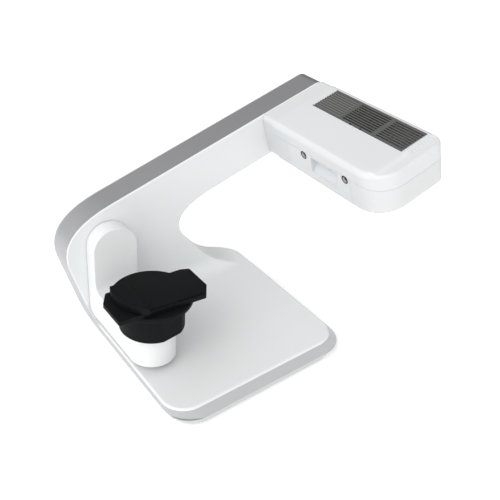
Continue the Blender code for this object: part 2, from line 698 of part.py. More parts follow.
def base_tray():
    """Shallow pan under the base that carries the feet."""
    depths = (TRAY_BOTTOM_Z, TRAY_BOTTOM_Z + TRAY_EDGE_ROUNDING, BASE_BOTTOM_Z - GAP)
    low_right = BASE_LENGTH + TRAY_LOW_REACH
    lows = (TRAY_LOW_LEFT_X, TRAY_LOW_LEFT_X - TRAY_EDGE_ROUNDING / 2, TRAY_TOP_LEFT_X)
    highs = (low_right, low_right + TRAY_EDGE_ROUNDING, BASE_LENGTH + TRAY_TOP_REACH)
    fronts = (TRAY_FRONT_Y[0] + TRAY_EDGE_ROUNDING, TRAY_FRONT_Y[0], TRAY_FRONT_Y[1])
    backs = (TRAY_BACK_Y - TRAY_EDGE_ROUNDING, TRAY_BACK_Y, TRAY_BACK_Y)

    def ring(index, margin, height):
        left, right = lows[index] + margin, highs[index] - margin
        front, back = fronts[index] + margin, backs[index] - margin
        radius = TRAY_CORNER_RADIUS - margin
        corners = [(left, front, radius), (right, front, radius)]
        corners += [(right, back, TRAY_EDGE_ROUNDING), (left, back, TRAY_EDGE_ROUNDING)]
        return lift(rounded(corners), height, "Z")

    pan = loft([ring(index, 0.0, depth) for index, depth in enumerate(depths)])
    floor = ring(1, TRAY_SKIN, TRAY_BOTTOM_Z + TRAY_SKIN)
    hollow = loft([floor, ring(2, TRAY_SKIN, BASE_BOTTOM_Z + OVERSHOOT)])
    finish(cut(pan, hollow), "base_tray", "tray_plastic", smooth=SMOOTH_ANGLE)


def ballast_and_feet():
    """Steel weight inside the base and the four rubber feet below the tray."""
    right = BASE_LENGTH - BALLAST_FROM_RIGHT
    plate = box(BALLAST_LOW, (right, BALLAST_BACK_Y, BALLAST_TOP_Z))
    skin_top = TRAY_BOTTOM_Z + TRAY_SKIN
    for x in (BALLAST_LOW[0], right - FOOT_RADIUS):
        for y in (BALLAST_LOW[1], BALLAST_BACK_Y - FOOT_RADIUS):
            leg = box((x, y, skin_top + GAP), (x + FOOT_RADIUS, y + FOOT_RADIUS, BALLAST_LOW[2] + GAP))
            fuse(plate, leg)
    finish(plate, "ballast_plate", "steel")
    top = TRAY_BOTTOM_Z - GAP
    profile = [(FOOT_RADIUS - FOOT_EDGE, 0.0), (FOOT_RADIUS, FOOT_EDGE), (FOOT_RADIUS, top)]
    for row, y in (("front", FOOT_FRONT_Y), ("rear", FOOT_REAR_Y)):
        for side, x in (("left", FOOT_LEFT_X), ("right", BASE_LENGTH - FOOT_FROM_RIGHT)):
            foot = turned(profile, (x, y), "Z", SMALL_SEGMENTS)
            finish(foot, f"foot_{row}_{side}", "rubber_black", smooth=SMOOTH_ANGLE)


def rear_sockets():
    """Power inlet, data socket and button behind the wall, on the controller board."""
    face = WALL_BACK_Y + GAP + REAR_COVER_THICKNESS
    board_face = BOARD_HIGH[1] + GAP
    inlet = rod(DC_INLET_RADIUS, board_face, face, DC_INLET_XZ, "Y", SMALL_SEGMENTS)
    seat = face - DC_SOCKET_DEPTH
    cut(inlet, rod(DC_SOCKET_RADIUS, seat, face + OVERSHOOT, DC_INLET_XZ, "Y", SMALL_SEGMENTS))
    pin_low = seat - GAP
    pin_high = face - REAR_COVER_THICKNESS / 2
    fuse(inlet, rod(DC_PIN_RADIUS, pin_low, pin_high, DC_INLET_XZ, "Y", SMALL_SEGMENTS))
    finish(inlet, "dc_inlet", "black_plastic")

    def block(size, low, high):
        x, z = USB_XZ
        return box((x - size[0] / 2, low, z - size[1] / 2), (x + size[0] / 2, high, z + size[1] / 2))

    socket = block(USB_SIZE, board_face, face)
    cut(socket, block(USB_OPENING, face - USB_DEPTH, face + OVERSHOOT))
    fuse(socket, block(USB_TONGUE, face - USB_DEPTH - GAP, face - REAR_COVER_THICKNESS / 2))
    finish(socket, "usb_socket", "aluminium")

    board = box(BOARD_LOW, BOARD_HIGH)
    x, z = BUTTON_XZ
    low = (x - SWITCH_SIZE[0] / 2, BOARD_HIGH[1] - GAP, z - SWITCH_SIZE[2] / 2)
    high = (x + SWITCH_SIZE[0] / 2, BOARD_HIGH[1] + SWITCH_SIZE[1], z + SWITCH_SIZE[2] / 2)
    finish(fuse(board, box(low, high)), "controller_board", "board_green")

    top = face + BUTTON_PROUD
    radius, edge = BUTTON_RADIUS, BUTTON_EDGE
    profile = [(radius, top - BUTTON_LENGTH), (radius, top - edge), (radius - edge, top)]
    button = turned(profile, BUTTON_XZ, "Y", SMALL_SEGMENTS)
    finish(button, "power_button", "white_rim", pivot=(x, face, z), smooth=SMOOTH_ANGLE)


# Bracket, drive and turntable.
def bracket_solid(margin=0.0):
    """The L-shaped bracket: a side profile kept inside a plan and a front outline."""
    back = BRACKET_BACK_Y - margin
    plate_front = BRACKET_BACK_Y - BRACKET_PLATE_THICKNESS + margin
    low, high = -BRACKET_BOTTOM_B + margin, BRACKET_HALF_WIDTH - margin
    leg_top = -BRACKET_LEG_TOP_B - margin
    front = TURNTABLE_Y - BRACKET_HALF_WIDTH + margin
    wide = BRACKET_HALF_WIDTH + OVERSHOOT
    edge = BRACKET_EDGE
    side = blended(
        [
            (back, low, BRACKET_OUTER_RADIUS, BRACKET_OUTER_RADIUS),
            (back, high, edge, edge),
            (plate_front, high, edge, edge),
            (plate_front, leg_top, BRACKET_INNER_RADIUS, BRACKET_INNER_RADIUS),
            (front, leg_top, 0.0, 0.0),
            (front, low, 0.0, 0.0),
        ]
    )
    half = BRACKET_HALF_WIDTH - margin
    arch = [(x, z) for x, z in circle(half, FINE_SEGMENTS) if z >= -edge]
    arch.sort(key=lambda point: math.atan2(point[1], point[0]))
    arch = [(half, low - OVERSHOOT), *arch, (-half, low - OVERSHOOT)]
    ring = circle(half, FINE_SEGMENTS, (0.0, TURNTABLE_Y))
    nose = [(x, y) for x, y in ring if y <= TURNTABLE_Y + edge]
    nose.sort(key=lambda point: math.atan2(point[0], TURNTABLE_Y - point[1]))
    plan = [(-half, back + OVERSHOOT), *nose, (half, back + OVERSHOOT)]
    body = prism(side, -wide, wide, "X")
    across = prism(arch, front - OVERSHOOT, back + OVERSHOOT, "Y")
    return keep(body, across, prism(plan, low - OVERSHOOT, wide, "Z"))


def swing_bracket():
    """White bracket with a hollow leg that is closed by a cover from below."""
    bracket = bracket_solid()
    axis = (0.0, TURNTABLE_Y)
    leg_top = -BRACKET_LEG_TOP_B
    low = -BRACKET_BOTTOM_B
    half = BRACKET_HALF_WIDTH - BRACKET_SKIN
    back = BRACKET_BACK_Y - BRACKET_PLATE_THICKNESS
    hollow = rod(half, low - OVERSHOOT, leg_top - BRACKET_SKIN, axis, "Z")
    fuse(hollow, box((-half, TURNTABLE_Y, low - OVERSHOOT), (half, back, leg_top - BRACKET_SKIN)))
    cut(bracket, hollow)
    rebate_top = low + BRACKET_COVER_THICKNESS + GAP
    rebate = rod(half + BRACKET_COVER_LEDGE, low - OVERSHOOT, rebate_top, axis, "Z")
    wide = half + BRACKET_COVER_LEDGE
    top = low + BRACKET_COVER_THICKNESS + GAP
    fuse(rebate, box((-wide, TURNTABLE_Y, low - OVERSHOOT), (wide, back, top)))
    cut(bracket, rebate)
    cut(bracket, rod(TABLE_BEARING_RADIUS + GAP, leg_top - OVERSHOOT, OVERSHOOT, axis, "Z"))
    shaft_end = BRACKET_BACK_Y - BRACKET_PLATE_THICKNESS / 2
    bore_back = BRACKET_BACK_Y + OVERSHOOT
    cut(bracket, rod(SWING_SHAFT_RADIUS + GAP, shaft_end - GAP, bore_back, (0.0, 0.0), "Y"))
    pivot = (PIVOT_X, BRACKET_BACK_Y, PIVOT_Z)
    finish(bracket, "swing_bracket", "white_plastic", BRACKET_FRAME, pivot, SMOOTH_ANGLE)

    cover_half = half + BRACKET_COVER_LEDGE - GAP
    cover = rod(cover_half, low, low + BRACKET_COVER_THICKNESS, axis, "Z")
    cover_top = low + BRACKET_COVER_THICKNESS
    fuse(cover, box((-cover_half, TURNTABLE_Y, low), (cover_half, back - GAP, cover_top)))
    finish(cover, "bracket_cover", "tray_plastic", BRACKET_FRAME, pivot)


def gear_outline(teeth, centre, phase):
    """A spur gear's outline with straight-sided teeth; phase turns its first tooth."""
    pitch = GEAR_MODULE * teeth / 2
    tip = pitch + TOOTH_ADDENDUM * GEAR_MODULE
    root = pitch - TOOTH_DEDENDUM * GEAR_MODULE
    step = math.tau / teeth
    loop = []
    for tooth in range(teeth):
        middle = phase + tooth * step
        for radius, share, side in (
            (root, TOOTH_ROOT_SHARE, -1),
            (tip, TOOTH_TIP_SHARE, -1),
            (tip, TOOTH_TIP_SHARE, 1),
            (root, TOOTH_ROOT_SHARE, 1),
        ):
            angle = middle + side * share * step / 2
            loop.append((centre[0] + radius * math.cos(angle), centre[1] + radius * math.sin(angle)))
    return loop


def swing_drive():
    """Shaft, bearing, gear, motor and pinion that swing the bracket."""
    start = BRACKET_BACK_Y - BRACKET_PLATE_THICKNESS / 2
    shaft = rod(SWING_SHAFT_RADIUS, start, GEAR_Y[1] + MOTOR_SHAFT_RADIUS, (0.0, 0.0), "Y")
    pivot = (PIVOT_X, BRACKET_BACK_Y, PIVOT_Z)
    finish(shaft, "swing_shaft", "steel", BRACKET_FRAME, pivot, SMOOTH_ANGLE)

    centre = (PIVOT_X, PIVOT_Z)
    inner, outer = SWING_SHAFT_RADIUS + RUNNING_CLEARANCE, SWING_BEARING_RADIUS
    low, high = SWING_BEARING_Y
    ring = [(inner, low), (outer, low), (outer, high), (inner, high)]
    finish(turned(ring, centre, "Y", closed=True), "swing_bearing", "steel", smooth=SMOOTH_ANGLE)

    gear = prism(gear_outline(GEAR_TEETH, centre, 0.0), *GEAR_Y, "Y")
    cut(gear, rod(SWING_SHAFT_RADIUS + GAP, GEAR_Y[0] - OVERSHOOT, GEAR_Y[1] + OVERSHOOT, centre, "Y"))
    finish(gear, "swing_gear", "gear_plastic", pivot=pivot)

    spacing = GEAR_MODULE * (GEAR_TEETH + PINION_TEETH) / 2
    motor_centre = (PIVOT_X + spacing, PIVOT_Z)
    phase = math.pi + math.pi / PINION_TEETH
    pinion = prism(gear_outline(PINION_TEETH, motor_centre, phase), *GEAR_Y, "Y")
    shaft_low, shaft_high = GEAR_Y[0] + GAP, MOTOR_FRONT_Y - MOTOR_NOSE_LENGTH - GAP
    fuse(pinion, rod(MOTOR_SHAFT_RADIUS, shaft_low, shaft_high, motor_centre, "Y", SMALL_SEGMENTS))
    finish(pinion, "motor_pinion", "steel", pivot=(motor_centre[0], GEAR_Y[0], motor_centre[1]))

    profile = [
        (MOTOR_NOSE_RADIUS, MOTOR_FRONT_Y - MOTOR_NOSE_LENGTH),
        (MOTOR_NOSE_RADIUS, MOTOR_FRONT_Y),
        (MOTOR_RADIUS, MOTOR_FRONT_Y),
        (MOTOR_RADIUS, WALL_BACK_Y),
    ]
    finish(turned(profile, motor_centre, "Y"), "swing_motor", "steel", smooth=SMOOTH_ANGLE)


def turntable():
    """Motor, spindle, bearing, drum, disc, model plate and jaw on the bracket's leg."""
    axis = (0.0, TURNTABLE_Y)
    pivot = BRACKET_FRAME @ Vector((0.0, TURNTABLE_Y, -BRACKET_LEG_TOP_B))
    bracket_pivot = (PIVOT_X, BRACKET_BACK_Y, PIVOT_Z)
    leg_top = -BRACKET_LEG_TOP_B
    roof = leg_top - BRACKET_SKIN
    low = -BRACKET_BOTTOM_B + BRACKET_COVER_THICKNESS + 2 * GAP
    motor = rod(TABLE_MOTOR_RADIUS, low, roof - GAP, axis, "Z")
    cut(motor, rod(SPINDLE_RADIUS + RUNNING_CLEARANCE * 2, -SPINDLE_LOW_B, OVERSHOOT, axis, "Z"))
    finish(motor, "turntable_motor", "steel", BRACKET_FRAME, bracket_pivot, SMOOTH_ANGLE)

    inner, outer = SPINDLE_RADIUS + RUNNING_CLEARANCE, TABLE_BEARING_RADIUS
    ring = [(inner, roof + GAP), (outer, roof + GAP), (outer, leg_top - GAP), (inner, leg_top - GAP)]
    bearing = turned(ring, axis, "Z", closed=True)
    finish(bearing, "turntable_bearing", "steel", BRACKET_FRAME, bracket_pivot, SMOOTH_ANGLE)

    spindle = rod(SPINDLE_RADIUS, -SPINDLE_LOW_B + GAP, -SPINDLE_TOP_B, axis, "Z")
    finish(spindle, "turntable_spindle", "steel", BRACKET_FRAME, pivot, SMOOTH_ANGLE)

    top, bottom = -DRUM_TOP_B, -DRUM_BOTTOM_B
    edge = DRUM_EDGE
    profile = [(DRUM_RADIUS - edge, bottom), (DRUM_RADIUS, bottom + edge), (DRUM_RADIUS, top)]
    drum = turned(profile, axis, "Z", FINE_SEGMENTS)
    wide = 2 * DRUM_RADIUS
    flat_low = (-wide, DRUM_FLAT_Y - DRUM_RADIUS, bottom - OVERSHOOT)
    flat = box(flat_low, (wide, DRUM_FLAT_Y, OVERSHOOT))
    turned_round = Matrix.Rotation(DRUM_FLAT_ANGLE, 4, "Z")
    flat.data.transform(Matrix.Translation((0.0, TURNTABLE_Y, 0.0)) @ turned_round)
    cut(drum, flat)
    cut(drum, rod(SPINDLE_RADIUS + GAP, bottom - OVERSHOOT, -SPINDLE_TOP_B + GAP, axis, "Z"))
    hollow_ring = [
        (TABLE_BEARING_RADIUS, bottom - OVERSHOOT),
        (DRUM_RADIUS - 2 * DRUM_SKIN, bottom - OVERSHOOT),
        (DRUM_RADIUS - 2 * DRUM_SKIN, top - DRUM_SKIN),
        (TABLE_BEARING_RADIUS, top - DRUM_SKIN),
    ]
    cut(drum, turned(hollow_ring, axis, "Z", closed=True))
    finish(drum, "turntable_drum", "black_plastic", BRACKET_FRAME, pivot, SMOOTH_ANGLE)

    low, high = -DISC_B[1], -DISC_B[0]
    profile = [(DISC_RADIUS - edge, low), (DISC_RADIUS, low + edge)]
    profile += [(DISC_RADIUS, high - edge), (DISC_RADIUS - edge, high)]
    disc = turned(profile, axis, "Z", FINE_SEGMENTS)
    finish(disc, "turntable_disc", "black_plastic", BRACKET_FRAME, pivot, SMOOTH_ANGLE)

    left, right = PLATE_X
    front, back = (TURNTABLE_Y + side for side in PLATE_Y)
    taper, radius = PLATE_TAPER, PLATE_CORNER_ROUNDING
    corners = [
        (left, front + taper),
        (right - PLATE_CHAMFER_X, front),
        (right, front + PLATE_CHAMFER_Y),
        (right, back - taper),
        (right - PLATE_CHAMFER_X, back),
        (left + PLATE_CHAMFER_X, back),
        (left, back - PLATE_CHAMFER_Y),
    ]
    top = -PLATE_B[0]
    outline = rounded([(x, y, radius) for x, y in corners], ROUNDING_STEPS)
    plate = prism(outline, -PLATE_B[1], top, "Z")
    pad_outline = rounded([(x, y, radius) for x, y in inset(corners, SEAT_MARGIN)], ROUNDING_STEPS)
    pad = prism(pad_outline, top - GAP, top + SEAT_HEIGHT, "Z")
    pad_left = JAW_CHORD_X + SEAT_MARGIN / 2
    fuse(plate, keep(pad, box((pad_left, front, top - OVERSHOOT), (right, back, OVERSHOOT))))
    finish(plate, "model_plate", "black_plastic", BRACKET_FRAME, pivot)

    jaw = rod(JAW_RADIUS, -JAW_B[1], -JAW_B[0], axis, "Z", FINE_SEGMENTS)
    far = 2 * JAW_RADIUS
    side = box((JAW_CHORD_X, TURNTABLE_Y - far, -far), (far, TURNTABLE_Y + far, far))
    back_side = box((-far, back, -far), (far, back + far, far))
    cut(jaw, side, back_side)
    finish(jaw, "clamp_jaw", "black_plastic", BRACKET_FRAME, pivot, SMOOTH_ANGLE)


# Head.
def head_block(margin=0.0):
    """The head and its neck as one block with rounded top and bottom edges."""
    left, right = HEAD_U[0] + margin, HEAD_U[1] - margin
    end = -HEAD_END_V + margin
    start = HEAD_SKIN * 4
    lens_radius, far_radius = HEAD_LENS_CORNER_RADIUS - margin, HEAD_FAR_CORNER_RADIUS - margin
    small = HEAD_LOW_ROUNDING

    def ring(inwards, height):
        corners = [
            (left + inwards, start, small),
            (left + inwards, end + inwards, lens_radius - inwards),
            (right - inwards, end + inwards, far_radius - inwards),
            (right - inwards, start, small),
        ]
        return lift(rounded(corners), height, "Z")

    bottom, top = -HEAD_HEIGHT + margin, -margin
    rings = []
    for step in range(ROUNDING_STEPS + 1):
        angle = math.pi / 2 * step / ROUNDING_STEPS
        low = HEAD_LOW_ROUNDING
        rings.append(ring(low * (1 - math.sin(angle)), bottom + low * (1 - math.cos(angle))))
    for step in range(ROUNDING_STEPS + 1):
        angle = math.pi / 2 * step / ROUNDING_STEPS
        high = HEAD_TOP_ROUNDING - margin / 2
        rings.append(ring(high * (1 - math.cos(angle)), top - high * (1 - math.sin(angle))))
    return loft(rings)


def across_head(profile):
    """A solid right across the head, from a (v, w) profile."""
    loop = [(-v, w) for v, w in profile]
    return prism(loop, HEAD_U[0] - OVERSHOOT, HEAD_U[1] + OVERSHOOT, "X")


def head_slice(start, end):
    """A mask between two distances from the wall."""
    high, low = OVERSHOOT, -HEAD_HEIGHT - OVERSHOOT
    return across_head([(start, low), (end, low), (end, high), (start, high)])


def below_split(rise):
    """A mask under the line where the two head shells part."""
    line = [(v, w + rise) for v, w in zip(SPLIT_LINE_V, SPLIT_LINE_W)]
    low = -HEAD_HEIGHT - OVERSHOOT
    start, end = line[0][0] - OVERSHOOT, line[-1][0] + OVERSHOOT
    return across_head([(start, low), (start, line[0][1]), *line, (end, line[-1][1]), (end, low)])


def head_neck():
    """Collar between the arm and the head, with a bore for the cables."""
    neck = keep(head_block(NECK_DROP), head_slice(*NECK_V))
    middle = (sum(HEAD_MOUNT_U) / 2, sum(HEAD_MOUNT_W) / 2)
    cut(neck, rod(NECK_BORE, -NECK_V[1] - OVERSHOOT, OVERSHOOT, middle, "Y"))
    finish(neck, "head_neck", "white_plastic", HEAD_FRAME, smooth=SMOOTH_ANGLE)


def head_shells():
    """Upper and lower shells, parted along a line that drops towards the free end."""
    start = NECK_V[1] + PANEL_GAP
    far = HEAD_END_V + OVERSHOOT
    upper = keep(head_block(), head_slice(start, far))
    cut(upper, below_split(0.0))
    step = [
        (END_STEP_V[0], OVERSHOOT),
        (END_STEP_V[0], 0.0),
        (END_STEP_V[1], -END_STEP_DEPTH),
        (far, -END_STEP_DEPTH),
        (far, OVERSHOOT),
    ]
    cut(upper, across_head(step))
    hollow = head_block(HEAD_SKIN)
    below_step = (HEAD_U[0], -far, -END_STEP_DEPTH - HEAD_SKIN)
    cut(hollow, box(below_step, (HEAD_U[1], -END_STEP_V[0] + 2 * HEAD_SKIN, OVERSHOOT)))
    cut(upper, hollow)
    left, right = GRILLE_U[0] - GAP, GRILLE_U[1] + GAP
    front, back = -GRILLE_V[1] - GAP, -GRILLE_V[0] + GAP
    ledge = GRILLE_LEDGE
    ledge_w = GRILLE_TOP_W - GRILLE_THICKNESS - GAP
    cut(upper, box((left, front, ledge_w), (right, back, OVERSHOOT)))
    window_high = (right - 2 * ledge, back - ledge, OVERSHOOT)
    cut(upper, box((left + ledge, front + ledge, -OVERSHOOT), window_high))
    finish(upper, "head_upper_shell", "white_rim", HEAD_FRAME, smooth=SMOOTH_ANGLE)

    lower = keep(head_block(), head_slice(start, far), below_split(-PANEL_GAP))
    cut(lower, head_block(HEAD_SKIN))
    opening_low = (HEAD_U[0] - OVERSHOOT, -BEZEL_V[1] - GAP, BEZEL_LOW_W - GAP)
    opening_high = (HEAD_U[0] + HEAD_SKIN * 2, -BEZEL_V[0] + GAP, 0.0)
    cut(lower, box(opening_low, opening_high))
    finish(lower, "head_lower_shell", "white_plastic", HEAD_FRAME, smooth=SMOOTH_ANGLE)


def lens_bezel():
    """Panel in the head's lens side with two camera holes and the projector's hood."""
    face = HEAD_U[0]
    inner = face + BEZEL_THICKNESS
    bezel = box((face, -BEZEL_V[1], BEZEL_LOW_W), (inner, -BEZEL_V[0], BEZEL_TOP_W))

    def hood(grow, front, extra):
        shallow, deep = (face + depth + extra for depth in RECESS_DEPTHS)
        low_w, top_w = RECESS_W[0] - grow, RECESS_W[1] + grow
        corners = [
            (-RECESS_LOW_V[1] - grow, low_w),
            (-RECESS_LOW_V[0] + grow, low_w),
            (-RECESS_TOP_V[0] + grow, top_w),
            (-RECESS_TOP_V[1] - grow, top_w),
        ]
        near = [(front, y, w) for y, w in corners]
        depths = (shallow, shallow, deep, deep)
        away = [(depth, y, w) for depth, (y, w) in zip(depths, corners)]
        return loft([near, away])

    fuse(bezel, hood(RECESS_WALL, face + BEZEL_THICKNESS / 2, RECESS_WALL))
    cut(bezel, hood(0.0, face - OVERSHOOT / 4, 0.0))
    for v in CAMERA_V.values():
        ends = (face - OVERSHOOT, inner + OVERSHOOT / 2)
        cut(bezel, rod(CAMERA_HOLE_RADIUS, *ends, (-v, CAMERA_W), "X", SMALL_SEGMENTS))
    centre = (-PROJECTOR_CENTRE[0], PROJECTOR_CENTRE[1])
    ends = (face + RECESS_DEPTHS[0], BENCH_U[0])
    cut(bezel, rod(PROJECTOR_LENS_RADIUS, *ends, centre, "X", SMALL_SEGMENTS))
    finish(bezel, "lens_bezel", "white_rim", HEAD_FRAME)


def head_optics():
    """Optical bench, two cameras with lenses and the pattern projector."""
    bench = box((BENCH_U[0], -BENCH_V[1], BENCH_W[0]), (BENCH_U[1], -BENCH_V[0], BENCH_W[1]))
    centre = (-PROJECTOR_CENTRE[0], PROJECTOR_CENTRE[1])
    barrel_radius = PROJECTOR_BARREL_RADIUS
    ends = (BENCH_U[0] - OVERSHOOT, BENCH_U[1] + OVERSHOOT)
    cut(bench, rod(barrel_radius + GAP, *ends, centre, "X", SMALL_SEGMENTS))
    finish(bench, "optical_bench", "aluminium", HEAD_FRAME)

    inner = HEAD_U[0] + BEZEL_THICKNESS + GAP
    lens_back = inner + CAMERA_LENS_THICKNESS
    for side, v in CAMERA_V.items():
        place = (-v, CAMERA_W)
        barrel = rod(CAMERA_BARREL_RADIUS, inner, BENCH_U[0] - GAP, place, "X", SMALL_SEGMENTS)
        ends = (inner - OVERSHOOT, lens_back + GAP)
        cut(barrel, rod(CAMERA_LENS_RADIUS + GAP, *ends, place, "X", SMALL_SEGMENTS))
        finish(barrel, f"camera_{side}", "black_plastic", HEAD_FRAME, smooth=SMOOTH_ANGLE)
        lens = rod(CAMERA_LENS_RADIUS, inner, lens_back, place, "X", SMALL_SEGMENTS)
        finish(lens, f"camera_lens_{side}", "lens_glass", HEAD_FRAME, smooth=SMOOTH_ANGLE)

    projector = box(PROJECTOR_LOW, PROJECTOR_HIGH)
    nose = HEAD_U[0] + RECESS_DEPTHS[1] + RECESS_WALL + GAP
    fuse(projector, rod(barrel_radius, nose, PROJECTOR_LOW[0] + GAP, centre, "X", SMALL_SEGMENTS))
    lens_back = nose + CAMERA_LENS_THICKNESS
    ends = (nose - OVERSHOOT, lens_back + GAP)
    cut(projector, rod(PROJECTOR_LENS_RADIUS + GAP, *ends, centre, "X", SMALL_SEGMENTS))
    finish(projector, "projector", "aluminium", HEAD_FRAME)
    lens = rod(PROJECTOR_LENS_RADIUS, nose, lens_back, centre, "X", SMALL_SEGMENTS)
    finish(lens, "projector_lens", "lens_glass", HEAD_FRAME, smooth=SMOOTH_ANGLE)


def head_grille():
    """Dark grille let into the head's top: three groups of slots along the head."""
    low, high = GRILLE_TOP_W - GRILLE_THICKNESS, GRILLE_TOP_W
    grille = box((GRILLE_U[0], -GRILLE_V[1], low), (GRILLE_U[1], -GRILLE_V[0], high))
    for start, end in zip(SLOT_STARTS_V, SLOT_ENDS_V):
        for index in range(SLOT_COUNT):
            left = GRILLE_U[0] + SLOT_MARGIN + index * SLOT_PITCH
            slot = box((left, -end, low - OVERSHOOT), (left + SLOT_WIDTH, -start, high + OVERSHOOT))
            cut(grille, slot)
    finish(grille, "top_grille", "grille_plastic", HEAD_FRAME)


def head_fan():
    """Cooling fan under the grille: a square frame with a turning rotor."""
    u, v = FAN_CENTRE
    centre = (u, -v)
    half = FAN_SIDE / 2
    low, high = FAN_W
    frame = box((u - half, -v - half, low), (u + half, -v + half, high))
    cut(frame, rod(FAN_BORE_RADIUS, low - OVERSHOOT, high + OVERSHOOT, centre, "Z"))
    spoke_top = low + FAN_SPOKE_HEIGHT
    width = FAN_SPOKE_WIDTH / 2
    reach = FAN_BORE_RADIUS + FAN_SPOKE_HEIGHT
    fuse(frame, box((u - reach, -v - width, low), (u + reach, -v + width, spoke_top)))
    finish(frame, "fan_frame", "black_plastic", HEAD_FRAME)

    rotor_low, rotor_high = spoke_top + PANEL_GAP, high - PANEL_GAP
    rotor = rod(FAN_HUB_RADIUS, rotor_low, rotor_high, centre, "Z", SMALL_SEGMENTS)
    height = (rotor_high - rotor_low) / math.cos(FAN_BLADE_TILT) * FAN_BLADE_HEIGHT_SHARE
    root = FAN_HUB_RADIUS * FAN_BLADE_ROOT_SHARE
    thin = FAN_BLADE_THICKNESS / 2
    for index in range(FAN_BLADES):
        blade = box((root, -thin, -height / 2), (FAN_TIP_RADIUS, thin, height / 2))
        blade.data.transform(Matrix.Rotation(FAN_BLADE_TILT, 4, "X"))
        blade.data.transform(Matrix.Rotation(math.tau * index / FAN_BLADES, 4, "Z"))
        blade.data.transform(Matrix.Translation((u, -v, (rotor_low + rotor_high) / 2)))
        fuse(rotor, blade)
    pivot = HEAD_FRAME @ Vector((u, -v, low))
    finish(rotor, "fan_rotor", "black_plastic", HEAD_FRAME, pivot)


def head_inside():
    """Control board in the head and the plate inside the arm that the head is bolted to."""
    board = box(HEAD_BOARD_LOW, HEAD_BOARD_HIGH)
    floor = -HEAD_HEIGHT + HEAD_SKIN + GAP
    radius = BOARD_PILLAR_RADIUS
    for u in (HEAD_BOARD_LOW[0] + 2 * radius, HEAD_BOARD_HIGH[0] - 2 * radius):
        for y in (HEAD_BOARD_LOW[1] + 2 * radius, HEAD_BOARD_HIGH[1] - 2 * radius):
            fuse(board, rod(radius, floor, HEAD_BOARD_LOW[2] + GAP, (u, y), "Z", SMALL_SEGMENTS))
    finish(board, "head_board", "board_green", HEAD_FRAME)

    inner = WALL_SKIN + GAP
    low = (HEAD_MOUNT_U[0], inner, HEAD_MOUNT_W[0])
    high = (HEAD_MOUNT_U[1], inner + HEAD_MOUNT_THICKNESS, HEAD_MOUNT_W[1])
    plate = box(low, high)
    middle = (sum(HEAD_MOUNT_U) / 2, sum(HEAD_MOUNT_W) / 2)
    cut(plate, rod(NECK_BORE, -OVERSHOOT, 2 * OVERSHOOT, middle, "Y"))
    finish(plate, "head_mount_plate", "steel", HEAD_FRAME)


def build():
    """Builds every piece of the scanner."""
    clear_scene()
    front_shell()
    edge_band()
    rear_cover()
    base_tray()
    ballast_and_feet()
    rear_sockets()
    swing_bracket()
    swing_drive()
    turntable()
    head_neck()
    head_shells()
    lens_bezel()
    head_optics()
    head_grille()
    head_fan()
    head_inside()


build()
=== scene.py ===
"""Looks of the desktop 3D scanner: finishes, fine details, studio and camera.

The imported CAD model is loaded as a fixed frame. Each CAD node is either given its finish or
replaced by a merged, smooth-shaded copy of itself, and small trims are added on top.
"""

import logging
import math
from collections.abc import Iterable, Sequence
from dataclasses import dataclass, field
from enum import Enum

import bmesh
import bpy
from mathutils import Matrix, Vector


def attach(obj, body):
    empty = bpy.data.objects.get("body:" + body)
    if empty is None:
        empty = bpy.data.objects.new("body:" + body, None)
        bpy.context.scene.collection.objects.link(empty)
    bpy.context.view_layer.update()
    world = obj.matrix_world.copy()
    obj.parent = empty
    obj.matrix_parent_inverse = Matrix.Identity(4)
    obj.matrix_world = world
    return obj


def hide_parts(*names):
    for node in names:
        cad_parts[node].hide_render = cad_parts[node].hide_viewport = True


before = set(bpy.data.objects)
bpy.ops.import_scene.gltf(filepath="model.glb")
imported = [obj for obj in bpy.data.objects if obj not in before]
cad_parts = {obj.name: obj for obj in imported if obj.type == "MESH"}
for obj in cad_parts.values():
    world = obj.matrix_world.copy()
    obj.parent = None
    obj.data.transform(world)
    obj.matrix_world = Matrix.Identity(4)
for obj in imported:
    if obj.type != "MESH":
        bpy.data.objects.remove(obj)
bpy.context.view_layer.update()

LOG = logging.getLogger("scanner")

ORIGIN = Vector((0.18135, 0.12275, 0.0))
ARM_ANGLE = math.radians(14.1)
STAND_FRAME = Matrix.Translation(-ORIGIN)
WALL_FRONT_Y = 0.2093
ARM_LINE_HEIGHT = 0.1762
ARM_START = Matrix.Translation((0.0, WALL_FRONT_Y, ARM_LINE_HEIGHT))
HEAD_FRAME = STAND_FRAME @ ARM_START @ Matrix.Rotation(-ARM_ANGLE, 4, "Y")

# The display curve that turns 8-bit colours into scene colours.
CURVE_STEP = 0.04045
CURVE_SLOPE = 12.92
CURVE_OFFSET = 0.055
CURVE_WHOLE = 1.055
CURVE_POWER = 2.4

# Distances and angles that keep the meshes clean.
MERGE_DISTANCE = 1e-6
CAD_MERGE_DISTANCE = 2e-6
FLAT_ANGLE = math.radians(0.2)
SOFTEN_OVER = math.radians(35.0)

Colour = tuple[float, float, float, float]
Point = tuple[float, float, float]


class Body(Enum):
    """The moving bodies that a piece can ride on."""

    STAND = "stand"
    BRACKET = "bracket"
    TURNTABLE = "turntable"
    BUTTON = "button"


class Texture(Enum):
    """How a moulding's surface was finished."""

    FINE_SPARK = "fine spark"
    BRUSHED = "brushed"
    POLISHED = "polished"


def linear(red: int, green: int, blue: int) -> Colour:
    """Turns an 8-bit display colour into a scene colour.

    Args:
        red: Red from 0 to 255.
        green: Green from 0 to 255.
        blue: Blue from 0 to 255.

    Returns:
        The linear colour with an alpha of 1.
    """
    parts = []
    for value in (red, green, blue):
        share = value / 255
        if share <= CURVE_STEP:
            parts.append(share / CURVE_SLOPE)
        else:
            parts.append(((share + CURVE_OFFSET) / CURVE_WHOLE) ** CURVE_POWER)
    return (*parts, 1.0)


